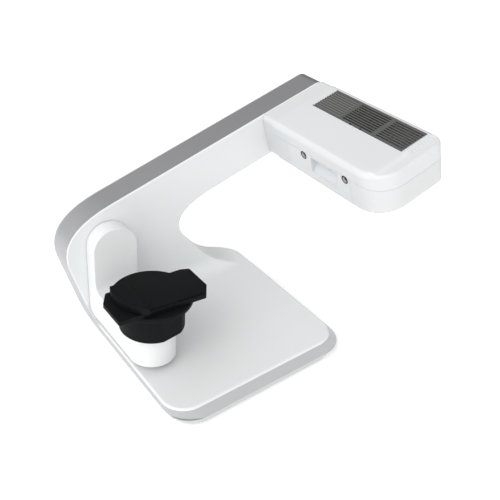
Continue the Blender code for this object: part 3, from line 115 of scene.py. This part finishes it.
@dataclass
class NodeDesk:
    """Places and joins shader nodes in one tree."""

    tree: bpy.types.NodeTree

    def add(self, kind: str, **settings: object) -> bpy.types.Node:
        """Adds a node.

        Args:
            kind: The node's type without its ShaderNode prefix.
            **settings: Values for the node's own properties.

        Returns:
            The new node.
        """
        node = self.tree.nodes.new("ShaderNode" + kind)
        for name, value in settings.items():
            setattr(node, name, value)
        return node

    def math(self, operation: str, *values: object) -> bpy.types.NodeSocket:
        """Adds a Math node whose inputs are sockets or plain numbers.

        Args:
            operation: The Math node's operation.
            *values: One socket or number for each input, in order.

        Returns:
            The node's output.
        """
        node = self.add("Math", operation=operation)
        for index, value in enumerate(values):
            self.feed(value, node.inputs[index])
        return node.outputs[0]

    def feed(self, value: object, socket: bpy.types.NodeSocket) -> None:
        """Links a socket to an input, or sets a plain value on it.

        Args:
            value: A socket, a number or a colour.
            socket: The input that takes it.
        """
        if isinstance(value, bpy.types.NodeSocket):
            self.tree.links.new(value, socket)
        else:
            socket.default_value = value


def new_group(name: str, inputs: dict[str, object], outputs: dict[str, str]) -> bpy.types.NodeTree:
    """Makes an empty shader node group with named sockets.

    Args:
        name: The group's name.
        inputs: Each input's name with its default: a number, a colour, or None for a vector.
        outputs: Each output's name with its socket type.

    Returns:
        The group.
    """
    group = bpy.data.node_groups.new(name, "ShaderNodeTree")
    for label, default in inputs.items():
        kind = "Vector" if default is None else "Float" if isinstance(default, float) else "Color"
        socket = group.interface.new_socket(label, in_out="INPUT", socket_type="NodeSocket" + kind)
        if default is not None:
            socket.default_value = default
    for label, kind in outputs.items():
        group.interface.new_socket(label, in_out="OUTPUT", socket_type="NodeSocket" + kind)
    return group


@dataclass(frozen=True)
class SurfacePattern:
    """The sizes and ranges of the shared surface effect's patterns."""

    fine_detail: float = 3.0
    broad_scale: float = 11.0
    broad_detail: float = 4.0
    patch_scale: float = 160.0
    edge_range: tuple[float, float] = (0.995, 0.86)
    patch_range: tuple[float, float] = (0.34, 0.66)
    middle: float = 0.5
    speck_share: float = 0.5


PATTERN = SurfacePattern()
PLAIN = (0.7, 0.7, 0.7, 1.0)
SURFACE_INPUTS = {
    "Vector": None,
    "Colour": PLAIN,
    "Edge Colour": PLAIN,
    "Grain": 900.0,
    "Mottle": 0.03,
    "Roughness": 0.4,
    "Spread": 0.06,
    "Wear": 0.3,
    "Edge": 0.0006,
}
SURFACE_OUTPUTS = {"Colour": "Color", "Roughness": "Float", "Height": "Float"}


def surface_group() -> bpy.types.NodeTree:
    """Builds the shared surface effect: grain, uneven tone and gloss, and rubbed edges.

    Returns:
        The group, whose outputs are Colour, Roughness and Height.
    """
    group = new_group("moulded_surface", SURFACE_INPUTS, SURFACE_OUTPUTS)
    desk = NodeDesk(group)
    entry, leave = group.nodes.new("NodeGroupInput"), group.nodes.new("NodeGroupOutput")
    sockets = entry.outputs

    fine = desk.add("TexNoise")
    fine.inputs["Detail"].default_value = PATTERN.fine_detail
    broad = desk.add("TexNoise")
    broad.inputs["Scale"].default_value = PATTERN.broad_scale
    broad.inputs["Detail"].default_value = PATTERN.broad_detail
    patchy = desk.add("TexNoise")
    patchy.inputs["Scale"].default_value = PATTERN.patch_scale
    for noise in (fine, broad, patchy):
        desk.feed(sockets["Vector"], noise.inputs["Vector"])
    desk.feed(sockets["Grain"], fine.inputs["Scale"])
    swing = desk.math("SUBTRACT", broad.outputs["Fac"], PATTERN.middle)
    speck = desk.math("SUBTRACT", fine.outputs["Fac"], PATTERN.middle)

    rounded = desk.add("Bevel", samples=4)
    desk.feed(sockets["Edge"], rounded.inputs["Radius"])
    facing = desk.add("NewGeometry")
    turned = desk.add("VectorMath", operation="DOT_PRODUCT")
    desk.feed(rounded.outputs["Normal"], turned.inputs[0])
    desk.feed(facing.outputs["Normal"], turned.inputs[1])
    edge = desk.add("MapRange")
    edge.inputs["From Min"].default_value, edge.inputs["From Max"].default_value = PATTERN.edge_range
    desk.feed(turned.outputs["Value"], edge.inputs["Value"])
    rubbed = desk.add("MapRange")
    rubbed.inputs["From Min"].default_value, rubbed.inputs["From Max"].default_value = PATTERN.patch_range
    desk.feed(patchy.outputs["Fac"], rubbed.inputs["Value"])
    worn = desk.math("MULTIPLY", edge.outputs["Result"], rubbed.outputs["Result"])
    worn = desk.math("MULTIPLY", worn, sockets["Wear"])

    tone = desk.math("ADD", desk.math("MULTIPLY", speck, PATTERN.speck_share), swing)
    tone = desk.math("MULTIPLY_ADD", tone, sockets["Mottle"], 1.0)
    shade = desk.add("VectorMath", operation="SCALE")
    desk.feed(sockets["Colour"], shade.inputs[0])
    desk.feed(tone, shade.inputs["Scale"])
    blend = desk.add("Mix", data_type="RGBA")
    desk.feed(worn, blend.inputs["Factor"])
    desk.feed(shade.outputs["Vector"], blend.inputs["A"])
    desk.feed(sockets["Edge Colour"], blend.inputs["B"])
    desk.feed(blend.outputs["Result"], leave.inputs["Colour"])

    gloss = desk.math("MULTIPLY_ADD", swing, sockets["Spread"], sockets["Roughness"])
    gloss = desk.math("MULTIPLY_ADD", speck, sockets["Spread"], gloss)
    desk.feed(gloss, leave.inputs["Roughness"])
    desk.feed(fine.outputs["Fac"], leave.inputs["Height"])
    return group


@dataclass(frozen=True)
class Finish:
    """One surface finish, made into a Principled material."""

    name: str
    colour: Colour
    edge_colour: Colour
    texture: Texture = Texture.FINE_SPARK
    roughness: float = 0.4
    metallic: float = 0.0
    grain: float = 1100.0
    bump: float = 0.05
    mottle: float = 0.03
    spread: float = 0.08
    wear: float = 0.3
    edge: float = 0.0006
    coat: float = 0.0
    specular: float = 0.5
    coat_roughness: float = 0.2
    bump_depth: float = 0.0002
    brush_stretch: Point = (0.06, 1.0, 1.0)

    def material(self, group: bpy.types.NodeTree) -> bpy.types.Material:
        """Builds the material.

        Args:
            group: The shared surface effect.

        Returns:
            The finished material.
        """
        material = bpy.data.materials.new(self.name)
        material.use_nodes = True
        desk = NodeDesk(material.node_tree)
        shader = material.node_tree.nodes["Principled BSDF"]
        shader.inputs["Metallic"].default_value = self.metallic
        shader.inputs["Coat Weight"].default_value = self.coat
        shader.inputs["Coat Roughness"].default_value = self.coat_roughness
        shader.inputs["Specular IOR Level"].default_value = self.specular
        place = desk.add("TexCoord")
        stretch = desk.add("Mapping")
        if self.texture is Texture.BRUSHED:
            stretch.inputs["Scale"].default_value = self.brush_stretch
        desk.feed(place.outputs["Object"], stretch.inputs["Vector"])
        surface = desk.add("Group", node_tree=group)
        values = {
            "Vector": stretch.outputs["Vector"],
            "Colour": self.colour,
            "Edge Colour": self.edge_colour,
            "Grain": self.grain,
            "Mottle": self.mottle,
            "Roughness": self.roughness,
            "Spread": self.spread,
            "Wear": self.wear,
            "Edge": self.edge,
        }
        for label, value in values.items():
            desk.feed(value, surface.inputs[label])
        desk.feed(surface.outputs["Colour"], shader.inputs["Base Color"])
        desk.feed(surface.outputs["Roughness"], shader.inputs["Roughness"])
        if self.texture is not Texture.POLISHED:
            bump = desk.add("Bump")
            bump.inputs["Strength"].default_value = self.bump
            bump.inputs["Distance"].default_value = self.bump_depth
            desk.feed(surface.outputs["Height"], bump.inputs["Height"])
            desk.feed(bump.outputs["Normal"], shader.inputs["Normal"])
        return material


WHITE_SHELL = Finish("white_shell", linear(222, 224, 224), linear(228, 230, 230), roughness=0.46)
BRIGHT_WHITE = Finish(
    "bright_white", linear(212, 214, 216), linear(228, 229, 230), roughness=0.36, coat=0.15, bump=0.03
)
# Darker copy of the stand's white shell plastic: painted shade on the head's neck and lower shell, which
# share the white plastic slot.
HEAD_WHITE_PAINTED_SHADE = Finish("head_white_painted_shade", linear(210, 212, 212), linear(220, 222, 222), roughness=0.46)
TRAY_WHITE = Finish("tray_white", linear(196, 199, 197), linear(206, 208, 206), roughness=0.55, bump=0.08)
BAND = Finish(
    "band_metal",
    linear(180, 180, 183),
    linear(224, 224, 226),
    roughness=0.36,
    metallic=0.92,
    grain=1500.0,
    bump=0.06,
    mottle=0.05,
    edge=0.0004,
)
BLACK = Finish(
    "black_moulding",
    linear(10, 11, 13),
    linear(62, 64, 67),
    roughness=0.62,
    grain=800.0,
    bump=0.12,
    mottle=0.3,
    wear=0.35,
    specular=0.12,
)
GRILLE = Finish(
    "grille_grey", linear(88, 88, 86), linear(128, 128, 124), roughness=0.58, bump=0.1, specular=0.3
)
SCREEN = Finish(
    "grille_screen", linear(120, 121, 119), linear(140, 140, 138), roughness=0.6, specular=0.3
)
RUBBER = Finish(
    "foot_rubber", linear(26, 26, 27), linear(60, 60, 60), roughness=0.85, bump=0.3, specular=0.2
)
BOARD = Finish("circuit_board", linear(24, 84, 50), linear(150, 140, 90), roughness=0.5, mottle=0.2)
STEEL = Finish(
    "machined_steel",
    linear(168, 169, 172),
    linear(205, 206, 208),
    Texture.BRUSHED,
    roughness=0.32,
    metallic=1.0,
    mottle=0.15,
    spread=0.2,
)
ALUMINIUM = Finish(
    "anodised_aluminium",
    linear(196, 198, 201),
    linear(220, 221, 223),
    roughness=0.42,
    metallic=1.0,
    mottle=0.06,
)
LENS = Finish(
    "coated_lens",
    linear(6, 7, 11),
    linear(8, 9, 14),
    Texture.POLISHED,
    roughness=0.2,
    mottle=0.2,
    specular=0.15,
)
ACETAL = Finish("gear_acetal", linear(216, 212, 200), linear(226, 222, 212), roughness=0.5)


@dataclass
class Workshop:
    """Holds the shared effect and makes each finish and each piece once."""

    group: bpy.types.NodeTree = field(default_factory=surface_group)
    made: dict[str, bpy.types.Material] = field(default_factory=dict)

    def material(self, finish: Finish) -> bpy.types.Material:
        """Returns the finish's material, built on first use.

        Args:
            finish: The finish.

        Returns:
            Its material.
        """
        if finish.name not in self.made:
            self.made[finish.name] = finish.material(self.group)
        return self.made[finish.name]

    def coat(self, finish: Finish, *nodes: str) -> None:
        """Gives CAD nodes their finish.

        Args:
            finish: The finish they take.
            *nodes: The nodes' names.
        """
        for node in nodes:
            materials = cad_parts[node].data.materials
            materials.clear()
            materials.append(self.material(finish))
            LOG.info("coated %s with %s", node, finish.name)

    def refined(
        self, node: str, body: Body, finish: Finish, slot: str, soften: float = 0.0
    ) -> bpy.types.Object:
        """Stands a merged and smooth-shaded copy in for a CAD node.

        Args:
            node: The node's name.
            body: The body it rides on.
            finish: The finish it takes.
            slot: The record's material slot.
            soften: Width of the rounding on its sharp edges, or 0 for none.

        Returns:
            The new piece.
        """
        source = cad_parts[node]
        bm = bmesh.new()
        bm.from_mesh(source.data)
        bm.transform(source.matrix_world)
        bmesh.ops.remove_doubles(bm, verts=bm.verts, dist=CAD_MERGE_DISTANCE)
        bmesh.ops.dissolve_limit(
            bm, angle_limit=FLAT_ANGLE, verts=bm.verts, edges=bm.edges, use_dissolve_boundaries=False
        )
        piece = self.piece(f"{node}_skin", bm, body, finish, slot)
        if soften:
            rounding = piece.modifiers.new("soften", "BEVEL")
            rounding.width = soften
            rounding.segments = 2
            rounding.limit_method = "ANGLE"
            rounding.angle_limit = SOFTEN_OVER
        even = piece.modifiers.new("even_shading", "WEIGHTED_NORMAL")
        even.keep_sharp = True
        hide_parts(node)
        return piece

    def piece(
        self, name: str, bm: bmesh.types.BMesh, body: Body, finish: Finish, slot: str, sharp: float = 34.0
    ) -> bpy.types.Object:
        """Makes a piece of a bmesh that is already in place.

        Args:
            name: The piece's name.
            bm: Its shape, which is used up.
            body: The body it rides on.
            finish: The finish it takes.
            slot: The record's material slot; not used.
            sharp: Edges over this angle in degrees stay sharp.

        Returns:
            The new piece.
        """
        mesh = bpy.data.meshes.new(name)
        bm.to_mesh(mesh)
        bm.free()
        mesh.shade_smooth()
        mesh.set_sharp_from_angle(angle=math.radians(sharp))
        mesh.materials.append(self.material(finish))
        piece = bpy.data.objects.new(name, mesh)
        bpy.context.scene.collection.objects.link(piece)
        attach(piece, body.value)
        LOG.info("built %s", name)
        return piece


def bar(bm: bmesh.types.BMesh, profile: Sequence[tuple[float, float]], start: float, end: float) -> None:
    """Adds a bar across the head to a bmesh.

    Args:
        bm: The bmesh.
        profile: The bar's section as distances from the wall and heights over the head's top.
        start: Where it starts along the arm.
        end: Where it ends along the arm.
    """
    section = bm.faces.new([bm.verts.new((start, -v, w)) for v, w in profile])
    grown = bmesh.ops.extrude_face_region(bm, geom=[section])["geom"]
    moved = [part for part in grown if isinstance(part, bmesh.types.BMVert)]
    bmesh.ops.translate(bm, verts=moved, vec=(end - start, 0.0, 0.0))


def finish_bars(bm: bmesh.types.BMesh, rounding: float) -> None:
    """Turns a bmesh of bars outwards and rounds its edges.

    Args:
        bm: The bmesh.
        rounding: The width of the rounding, or 0 for none.
    """
    bmesh.ops.recalc_face_normals(bm, faces=bm.faces)
    if rounding:
        bmesh.ops.bevel(
            bm,
            geom=bm.edges[:],
            offset=rounding,
            offset_type="OFFSET",
            affect="EDGES",
            segments=1,
            profile=0.5,
            material=-1,
        )


def add_turned(
    bm: bmesh.types.BMesh, profile: Sequence[tuple[float, float]], place: Matrix, steps: int, closed: bool
) -> None:
    """Adds a shape turned about its own Z axis to a bmesh.

    Args:
        bm: The bmesh it is added to.
        profile: Its section as radii and heights.
        place: Where it stands.
        steps: The steps of a full turn.
        closed: Whether the section is a closed loop.
    """
    shape = bmesh.new()
    points = [shape.verts.new((radius, 0.0, height)) for radius, height in profile]
    ends = points[1:] + points[:1] if closed else points[1:]
    edges = [shape.edges.new(pair) for pair in zip(points, ends)]
    bmesh.ops.spin(
        shape,
        geom=points + edges,
        cent=(0.0, 0.0, 0.0),
        axis=(0.0, 0.0, 1.0),
        angle=math.tau,
        steps=steps,
        use_merge=True,
    )
    bmesh.ops.remove_doubles(shape, verts=shape.verts, dist=MERGE_DISTANCE)
    bmesh.ops.recalc_face_normals(shape, faces=shape.faces)
    shape.transform(place)
    mesh = bpy.data.meshes.new("turned")
    shape.to_mesh(mesh)
    shape.free()
    bm.from_mesh(mesh)
    bpy.data.meshes.remove(mesh)


@dataclass
class Screw:
    """Low-headed screw with a round driver socket."""

    radius: float = 0.0026
    height: float = 0.0009
    socket: float = 0.0013
    depth: float = 0.0007
    edge: float = 0.0004
    steps: int = 24

    def add(self, bm: bmesh.types.BMesh, place: Matrix) -> None:
        """Adds one screw head, standing along the place's +Z.

        Args:
            bm: The bmesh it is added to.
            place: Where its seat is, and which way it stands.
        """
        low = self.height - self.depth
        profile = (
            (0.0, low),
            (self.socket, low),
            (self.socket, self.height),
            (self.radius - self.edge, self.height),
            (self.radius, self.height - self.edge),
            (self.radius, 0.0),
            (0.0, 0.0),
        )
        add_turned(bm, profile, place, self.steps, closed=False)


def screws(places: Iterable[Matrix], screw: Screw) -> bmesh.types.BMesh:
    """Gathers screws in one bmesh.

    Args:
        places: Where each stands.
        screw: The screw.

    Returns:
        The bmesh.
    """
    bm = bmesh.new()
    for place in places:
        screw.add(bm, place)
    return bm


@dataclass
class Stand:
    """Shell, band, tray, feet and rear of the stand."""

    cover_back: float = 0.2503
    cover_screws: Sequence[tuple[float, float]] = ((0.018, 0.062), (0.160, 0.054), (0.008, 0.158))
    arm_screws: Sequence[tuple[float, float]] = (
        (0.130, -0.012),
        (0.240, -0.050),
        (0.370, -0.012),
        (0.370, -0.048),
    )
    tray_screws: Sequence[tuple[float, float]] = (
        (0.022, 0.110),
        (0.125, 0.020),
        (0.224, 0.110),
        (0.125, 0.202),
    )
    tray_bottom: float = 0.003
    cover_rounding: float = 0.0006
    button_rounding: float = 0.0004
    cover_screw_height: float = 0.0005

    def dress(self, shop: Workshop) -> None:
        """Finishes every piece of the stand.

        Args:
            shop: The workshop that holds the finishes.
        """
        shop.refined("front_shell", Body.STAND, WHITE_SHELL, "white_plastic")
        shop.refined("edge_band", Body.STAND, BAND, "band_metal")
        shop.refined("base_tray", Body.STAND, TRAY_WHITE, "tray_plastic")
        shop.refined("rear_cover", Body.STAND, WHITE_SHELL, "white_plastic", self.cover_rounding)
        shop.refined(
            "power_button", Body.BUTTON, BRIGHT_WHITE, "bright_white_plastic", self.button_rounding
        )
        shop.coat(RUBBER, "foot_front_left", "foot_front_right", "foot_rear_left", "foot_rear_right")
        shop.coat(STEEL, "ballast_plate", "head_mount_plate")
        shop.coat(STEEL, "swing_bearing", "swing_motor", "motor_pinion")
        shop.coat(BLACK, "dc_inlet")
        shop.coat(ALUMINIUM, "usb_socket")
        shop.coat(BOARD, "controller_board")
        self.fasteners(shop)

    def fasteners(self, shop: Workshop) -> None:
        """Adds the screws of the rear cover and of the tray.

        Args:
            shop: The workshop that holds the finishes.
        """
        backwards = Matrix.Rotation(-math.pi / 2, 4, "X")
        places = [
            STAND_FRAME @ Matrix.Translation((x, self.cover_back, z)) @ backwards
            for x, z in self.cover_screws
        ]
        behind = self.cover_back - WALL_FRONT_Y
        places += [HEAD_FRAME @ Matrix.Translation((u, behind, w)) @ backwards for u, w in self.arm_screws]
        low_screw = Screw(height=self.cover_screw_height)
        shop.piece("cover_screws", screws(places, low_screw), Body.STAND, STEEL, "steel")
        down = Matrix.Rotation(math.pi, 4, "X")
        places = [
            STAND_FRAME @ Matrix.Translation((x, y, self.tray_bottom)) @ down for x, y in self.tray_screws
        ]
        shop.piece("tray_screws", screws(places, Screw()), Body.STAND, STEEL, "steel")


@dataclass
class SwingBracket:
    """White bracket with its drive and the motor in its leg."""

    rounding: float = 0.0018

    def dress(self, shop: Workshop) -> None:
        """Finishes the bracket's pieces.

        Args:
            shop: The workshop that holds the finishes.
        """
        shop.refined("swing_bracket", Body.BRACKET, WHITE_SHELL, "white_plastic", self.rounding)
        shop.coat(TRAY_WHITE, "bracket_cover")
        shop.coat(ACETAL, "swing_gear")
        shop.coat(STEEL, "swing_shaft", "turntable_motor", "turntable_bearing")


@dataclass
class Turntable:
    """Black drum, disc, plate and jaw."""

    rounding: float = 0.0007

    def dress(self, shop: Workshop) -> None:
        """Finishes the turntable's pieces.

        Args:
            shop: The workshop that holds the finishes.
        """
        for node in ("turntable_drum", "turntable_disc", "model_plate", "clamp_jaw"):
            shop.refined(node, Body.TURNTABLE, BLACK, "black_plastic", self.rounding)
        shop.coat(STEEL, "turntable_spindle")


@dataclass
class ScanHead:
    """Head shells, lens panel, grille, optics and fan."""

    grille_u: tuple[float, float] = (0.3335, 0.3760)
    grille_v: tuple[float, float] = (0.0356, 0.1938)
    grille_top: float = -0.0002
    pitch: float = 0.0040
    ribs: int = 10
    rib_width: float = 0.0013
    rib_section: Sequence[tuple[float, float]] = (
        (0.1946, -0.0004),
        (0.1950, 0.0002),
        (0.1966, 0.00077),
        (0.2028, -0.0008),
        (0.2046, -0.0026),
    )
    rib_rounding: float = 0.0001
    tooth_width: float = 0.0022
    tooth_section: Sequence[tuple[float, float]] = (
        (-0.0030, -0.0003),
        (-0.0024, 0.0002),
        (0.0012, 0.0001),
        (0.0012, -0.0003),
    )
    screen_v: tuple[float, float] = (0.0368, 0.0856)
    screen_inset: float = 0.0005
    screen_thickness: float = 0.0005
    screen_half_width: float = 0.0010
    notch_v: Sequence[float] = (0.1062, 0.1238)
    notch_radius: float = 0.0022
    notch_steps: int = 24
    notch_raise: float = 0.00015
    notch_edge: float = 0.0002
    notch_depth: float = 0.0004
    lens_side: float = 0.2761
    camera_v: Sequence[float] = (0.0816, 0.1577)
    camera_w: float = -0.0238
    ring: tuple[float, float, float] = (0.0040, 0.0054, 0.0003)
    ring_steps: int = 36

    def dress(self, shop: Workshop) -> None:
        """Finishes the head's pieces.

        Args:
            shop: The workshop that holds the finishes.
        """
        # The neck and lower shell take the darker copy of the white plastic as painted shade.
        shop.refined("head_neck", Body.STAND, HEAD_WHITE_PAINTED_SHADE, "white_plastic")
        shop.refined("head_upper_shell", Body.STAND, BRIGHT_WHITE, "bright_white_plastic")
        shop.refined("head_lower_shell", Body.STAND, HEAD_WHITE_PAINTED_SHADE, "white_plastic")
        shop.refined("lens_bezel", Body.STAND, BRIGHT_WHITE, "bright_white_plastic")
        shop.coat(GRILLE, "top_grille")
        shop.coat(BLACK, "camera_left", "camera_right", "fan_frame", "fan_rotor")
        shop.coat(LENS, "camera_lens_left", "camera_lens_right", "projector_lens")
        shop.coat(ALUMINIUM, "projector", "optical_bench")
        shop.coat(BOARD, "head_board")
        self.end_ribs(shop)
        self.start_teeth(shop)
        self.grille_screen(shop)
        self.notch_shade_discs(shop)
        self.camera_rings(shop)

    def camera_rings(self, shop: Workshop) -> None:
        """Adds the dark ring round each camera hole.

        Args:
            shop: The workshop that holds the finishes.
        """
        inner, outer, height = self.ring
        section = ((inner, 0.0), (outer, 0.0), (outer, height), (inner, height))
        bm = bmesh.new()
        for v in self.camera_v:
            place = Matrix.Translation((self.lens_side + height / 2, -v, self.camera_w))
            place = HEAD_FRAME @ place @ Matrix.Rotation(-math.pi / 2, 4, "Y")
            add_turned(bm, section, place, self.ring_steps, closed=True)
        shop.piece("camera_rings", bm, Body.STAND, BLACK, "black_plastic")

    def rib_centres(self) -> list[float]:
        """Returns where the slats between the slots lie along the arm."""
        middle = sum(self.grille_u) / 2
        return [middle + self.pitch * (index - (self.ribs - 1) / 2) for index in range(self.ribs)]

    def end_ribs(self, shop: Workshop) -> None:
        """Adds the short ribs that run on over the end strip.

        Args:
            shop: The workshop that holds the finishes.
        """
        bm = bmesh.new()
        for centre in self.rib_centres():
            bar(bm, self.rib_section, centre - self.rib_width / 2, centre + self.rib_width / 2)
        finish_bars(bm, self.rib_rounding)
        bm.transform(HEAD_FRAME)
        shop.piece("end_ribs", bm, Body.STAND, BRIGHT_WHITE, "bright_white_plastic")

    def start_teeth(self, shop: Workshop) -> None:
        """Adds the row of small teeth at the grille's arm end.

        Args:
            shop: The workshop that holds the finishes.
        """
        bm = bmesh.new()
        near = self.grille_v[0]
        section = [(near + offset, height) for offset, height in self.tooth_section]
        for centre in self.rib_centres():
            bar(bm, section, centre - self.tooth_width / 2, centre + self.tooth_width / 2)
        finish_bars(bm, 0.0)
        bm.transform(HEAD_FRAME)
        shop.piece("grille_teeth", bm, Body.STAND, BRIGHT_WHITE, "bright_white_plastic")

    def grille_screen(self, shop: Workshop) -> None:
        """Adds the grey screen that closes the slots nearest the arm.

        Args:
            shop: The workshop that holds the finishes.
        """
        bm = bmesh.new()
        top = self.grille_top - self.screen_inset
        low = top - self.screen_thickness
        start, end = self.screen_v
        section = ((start, low), (start, top), (end, top), (end, low))
        for centre in self.rib_centres()[:-1]:
            middle = centre + self.pitch / 2
            bar(bm, section, middle - self.screen_half_width, middle + self.screen_half_width)
        finish_bars(bm, 0.0)
        bm.transform(HEAD_FRAME)
        shop.piece("grille_screen", bm, Body.STAND, SCREEN, "grille_plastic")

    def notch_shade_discs(self, shop: Workshop) -> None:
        """Adds two black half-discs on the grille's edge as painted shade for the two half-round finger
        notches.

        Args:
            shop: The workshop that holds the finishes.
        """
        bm = bmesh.new()
        for v in self.notch_v:
            made = bmesh.ops.create_circle(
                bm, cap_ends=True, segments=self.notch_steps, radius=self.notch_radius
            )
            place = Matrix.Translation((self.grille_u[0], -v, self.grille_top + self.notch_raise))
            bmesh.ops.transform(bm, matrix=place, verts=made["verts"])
        edge = (self.grille_u[0] - self.notch_edge, 0.0, 0.0)
        bmesh.ops.bisect_plane(
            bm,
            geom=bm.verts[:] + bm.edges[:] + bm.faces[:],
            plane_co=edge,
            plane_no=(1.0, 0.0, 0.0),
            clear_inner=True,
        )
        grown = bmesh.ops.extrude_face_region(bm, geom=bm.faces[:])["geom"]
        moved = [part for part in grown if isinstance(part, bmesh.types.BMVert)]
        bmesh.ops.translate(bm, verts=moved, vec=(0.0, 0.0, -self.notch_depth))
        bmesh.ops.recalc_face_normals(bm, faces=bm.faces)
        bm.transform(HEAD_FRAME)
        # These black half-discs are painted shade for the notches' recesses, laid on the grille top
        # instead of a cut.
        shop.piece("grille_notch_painted_shade", bm, Body.STAND, BLACK, "black_plastic")


@dataclass
class Studio:
    """Floor, lights and the photograph's camera."""

    camera_at: Point = (-0.42095, -0.59975, 0.6353)
    camera_turn: Point = (54.7, 0.0, -35.5)
    lens: float = 51.3
    sensor: float = 36.0
    floor_side: float = 12.0
    floor_scale: float = 3.0
    floor_tones: tuple[float, float] = (0.93, 0.96)
    floor_roughness: float = 0.9
    floor_specular: float = 0.2
    floor_glow: float = 0.22
    bright_side: Point = (-0.85, -0.45, 0.45)
    surround: tuple[float, float] = (0.2, 1.48)
    facing: tuple[float, float] = (-0.55, 0.85)
    seen_surround: float = 1.0
    key_at: Point = (-1.6, -0.7, 2.0)
    key_aim: Point = (0.0, 0.0, 0.1)
    key_side: float = 1.4
    key_power: float = 11.0

    def floor(self) -> None:
        """Lays a plain pale floor."""
        bm = bmesh.new()
        bmesh.ops.create_grid(bm, x_segments=1, y_segments=1, size=self.floor_side)
        mesh = bpy.data.meshes.new("floor")
        bm.to_mesh(mesh)
        bm.free()
        material = bpy.data.materials.new("floor_pale")
        material.use_nodes = True
        desk = NodeDesk(material.node_tree)
        shader = material.node_tree.nodes["Principled BSDF"]
        mottle = desk.add("TexNoise")
        mottle.inputs["Scale"].default_value = self.floor_scale
        tone = desk.add("MapRange")
        tone.inputs["To Min"].default_value, tone.inputs["To Max"].default_value = self.floor_tones
        place = desk.add("TexCoord")
        desk.feed(place.outputs["Object"], mottle.inputs["Vector"])
        desk.feed(mottle.outputs["Fac"], tone.inputs["Value"])
        desk.feed(tone.outputs["Result"], shader.inputs["Base Color"])
        shader.inputs["Roughness"].default_value = self.floor_roughness
        shader.inputs["Specular IOR Level"].default_value = self.floor_specular
        shader.inputs["Emission Color"].default_value = (1.0, 1.0, 1.0, 1.0)
        shader.inputs["Emission Strength"].default_value = self.floor_glow
        mesh.materials.append(material)
        obj = bpy.data.objects.new("floor", mesh)
        bpy.context.scene.collection.objects.link(obj)

    def light(self) -> None:
        """Sets a soft surround, brighter from the front left, and one large key light."""
        world = bpy.data.worlds.new("studio")
        world.use_nodes = True
        desk = NodeDesk(world.node_tree)
        backdrop = world.node_tree.nodes["Background"]
        way = desk.add("TexCoord")
        towards = desk.add("VectorMath", operation="DOT_PRODUCT")
        towards.inputs[1].default_value = Vector(self.bright_side).normalized()
        desk.feed(way.outputs["Generated"], towards.inputs[0])
        level = desk.add("MapRange")
        level.inputs["From Min"].default_value, level.inputs["From Max"].default_value = self.facing
        level.inputs["To Min"].default_value, level.inputs["To Max"].default_value = self.surround
        desk.feed(towards.outputs["Value"], level.inputs["Value"])
        seen = desk.add("LightPath")
        strength = desk.add("Mix", data_type="FLOAT")
        desk.feed(seen.outputs["Is Camera Ray"], strength.inputs["Factor"])
        desk.feed(level.outputs["Result"], strength.inputs["A"])
        desk.feed(self.seen_surround, strength.inputs["B"])
        desk.feed(strength.outputs["Result"], backdrop.inputs["Strength"])
        backdrop.inputs["Color"].default_value = (1.0, 1.0, 1.0, 1.0)
        bpy.context.scene.world = world
        lamp = bpy.data.lights.new("key", "AREA")
        lamp.shape = "SQUARE"
        lamp.size = self.key_side
        lamp.energy = self.key_power
        obj = bpy.data.objects.new("key", lamp)
        obj.location = self.key_at
        aim = Vector(self.key_aim) - Vector(self.key_at)
        obj.rotation_euler = aim.to_track_quat("-Z", "Y").to_euler()
        bpy.context.scene.collection.objects.link(obj)

    def camera(self) -> None:
        """Places the camera at the photograph's angle."""
        data = bpy.data.cameras.new("camera")
        data.lens = self.lens
        data.sensor_width = self.sensor
        obj = bpy.data.objects.new("camera", data)
        obj.location = self.camera_at
        obj.rotation_euler = [math.radians(angle) for angle in self.camera_turn]
        bpy.context.scene.collection.objects.link(obj)
        bpy.context.scene.camera = obj
        bpy.context.scene.view_settings.view_transform = "Standard"

    def build(self) -> None:
        """Sets up the whole studio."""
        self.floor()
        self.light()
        self.camera()


def main() -> None:
    """Builds every sub-assembly."""
    logging.basicConfig(level=logging.INFO, format="%(name)s: %(message)s")
    shop = Workshop()
    for assembly in (Stand(), SwingBracket(), Turntable(), ScanHead()):
        assembly.dress(shop)
    Studio().build()


if __name__ == "__main__":
    main()
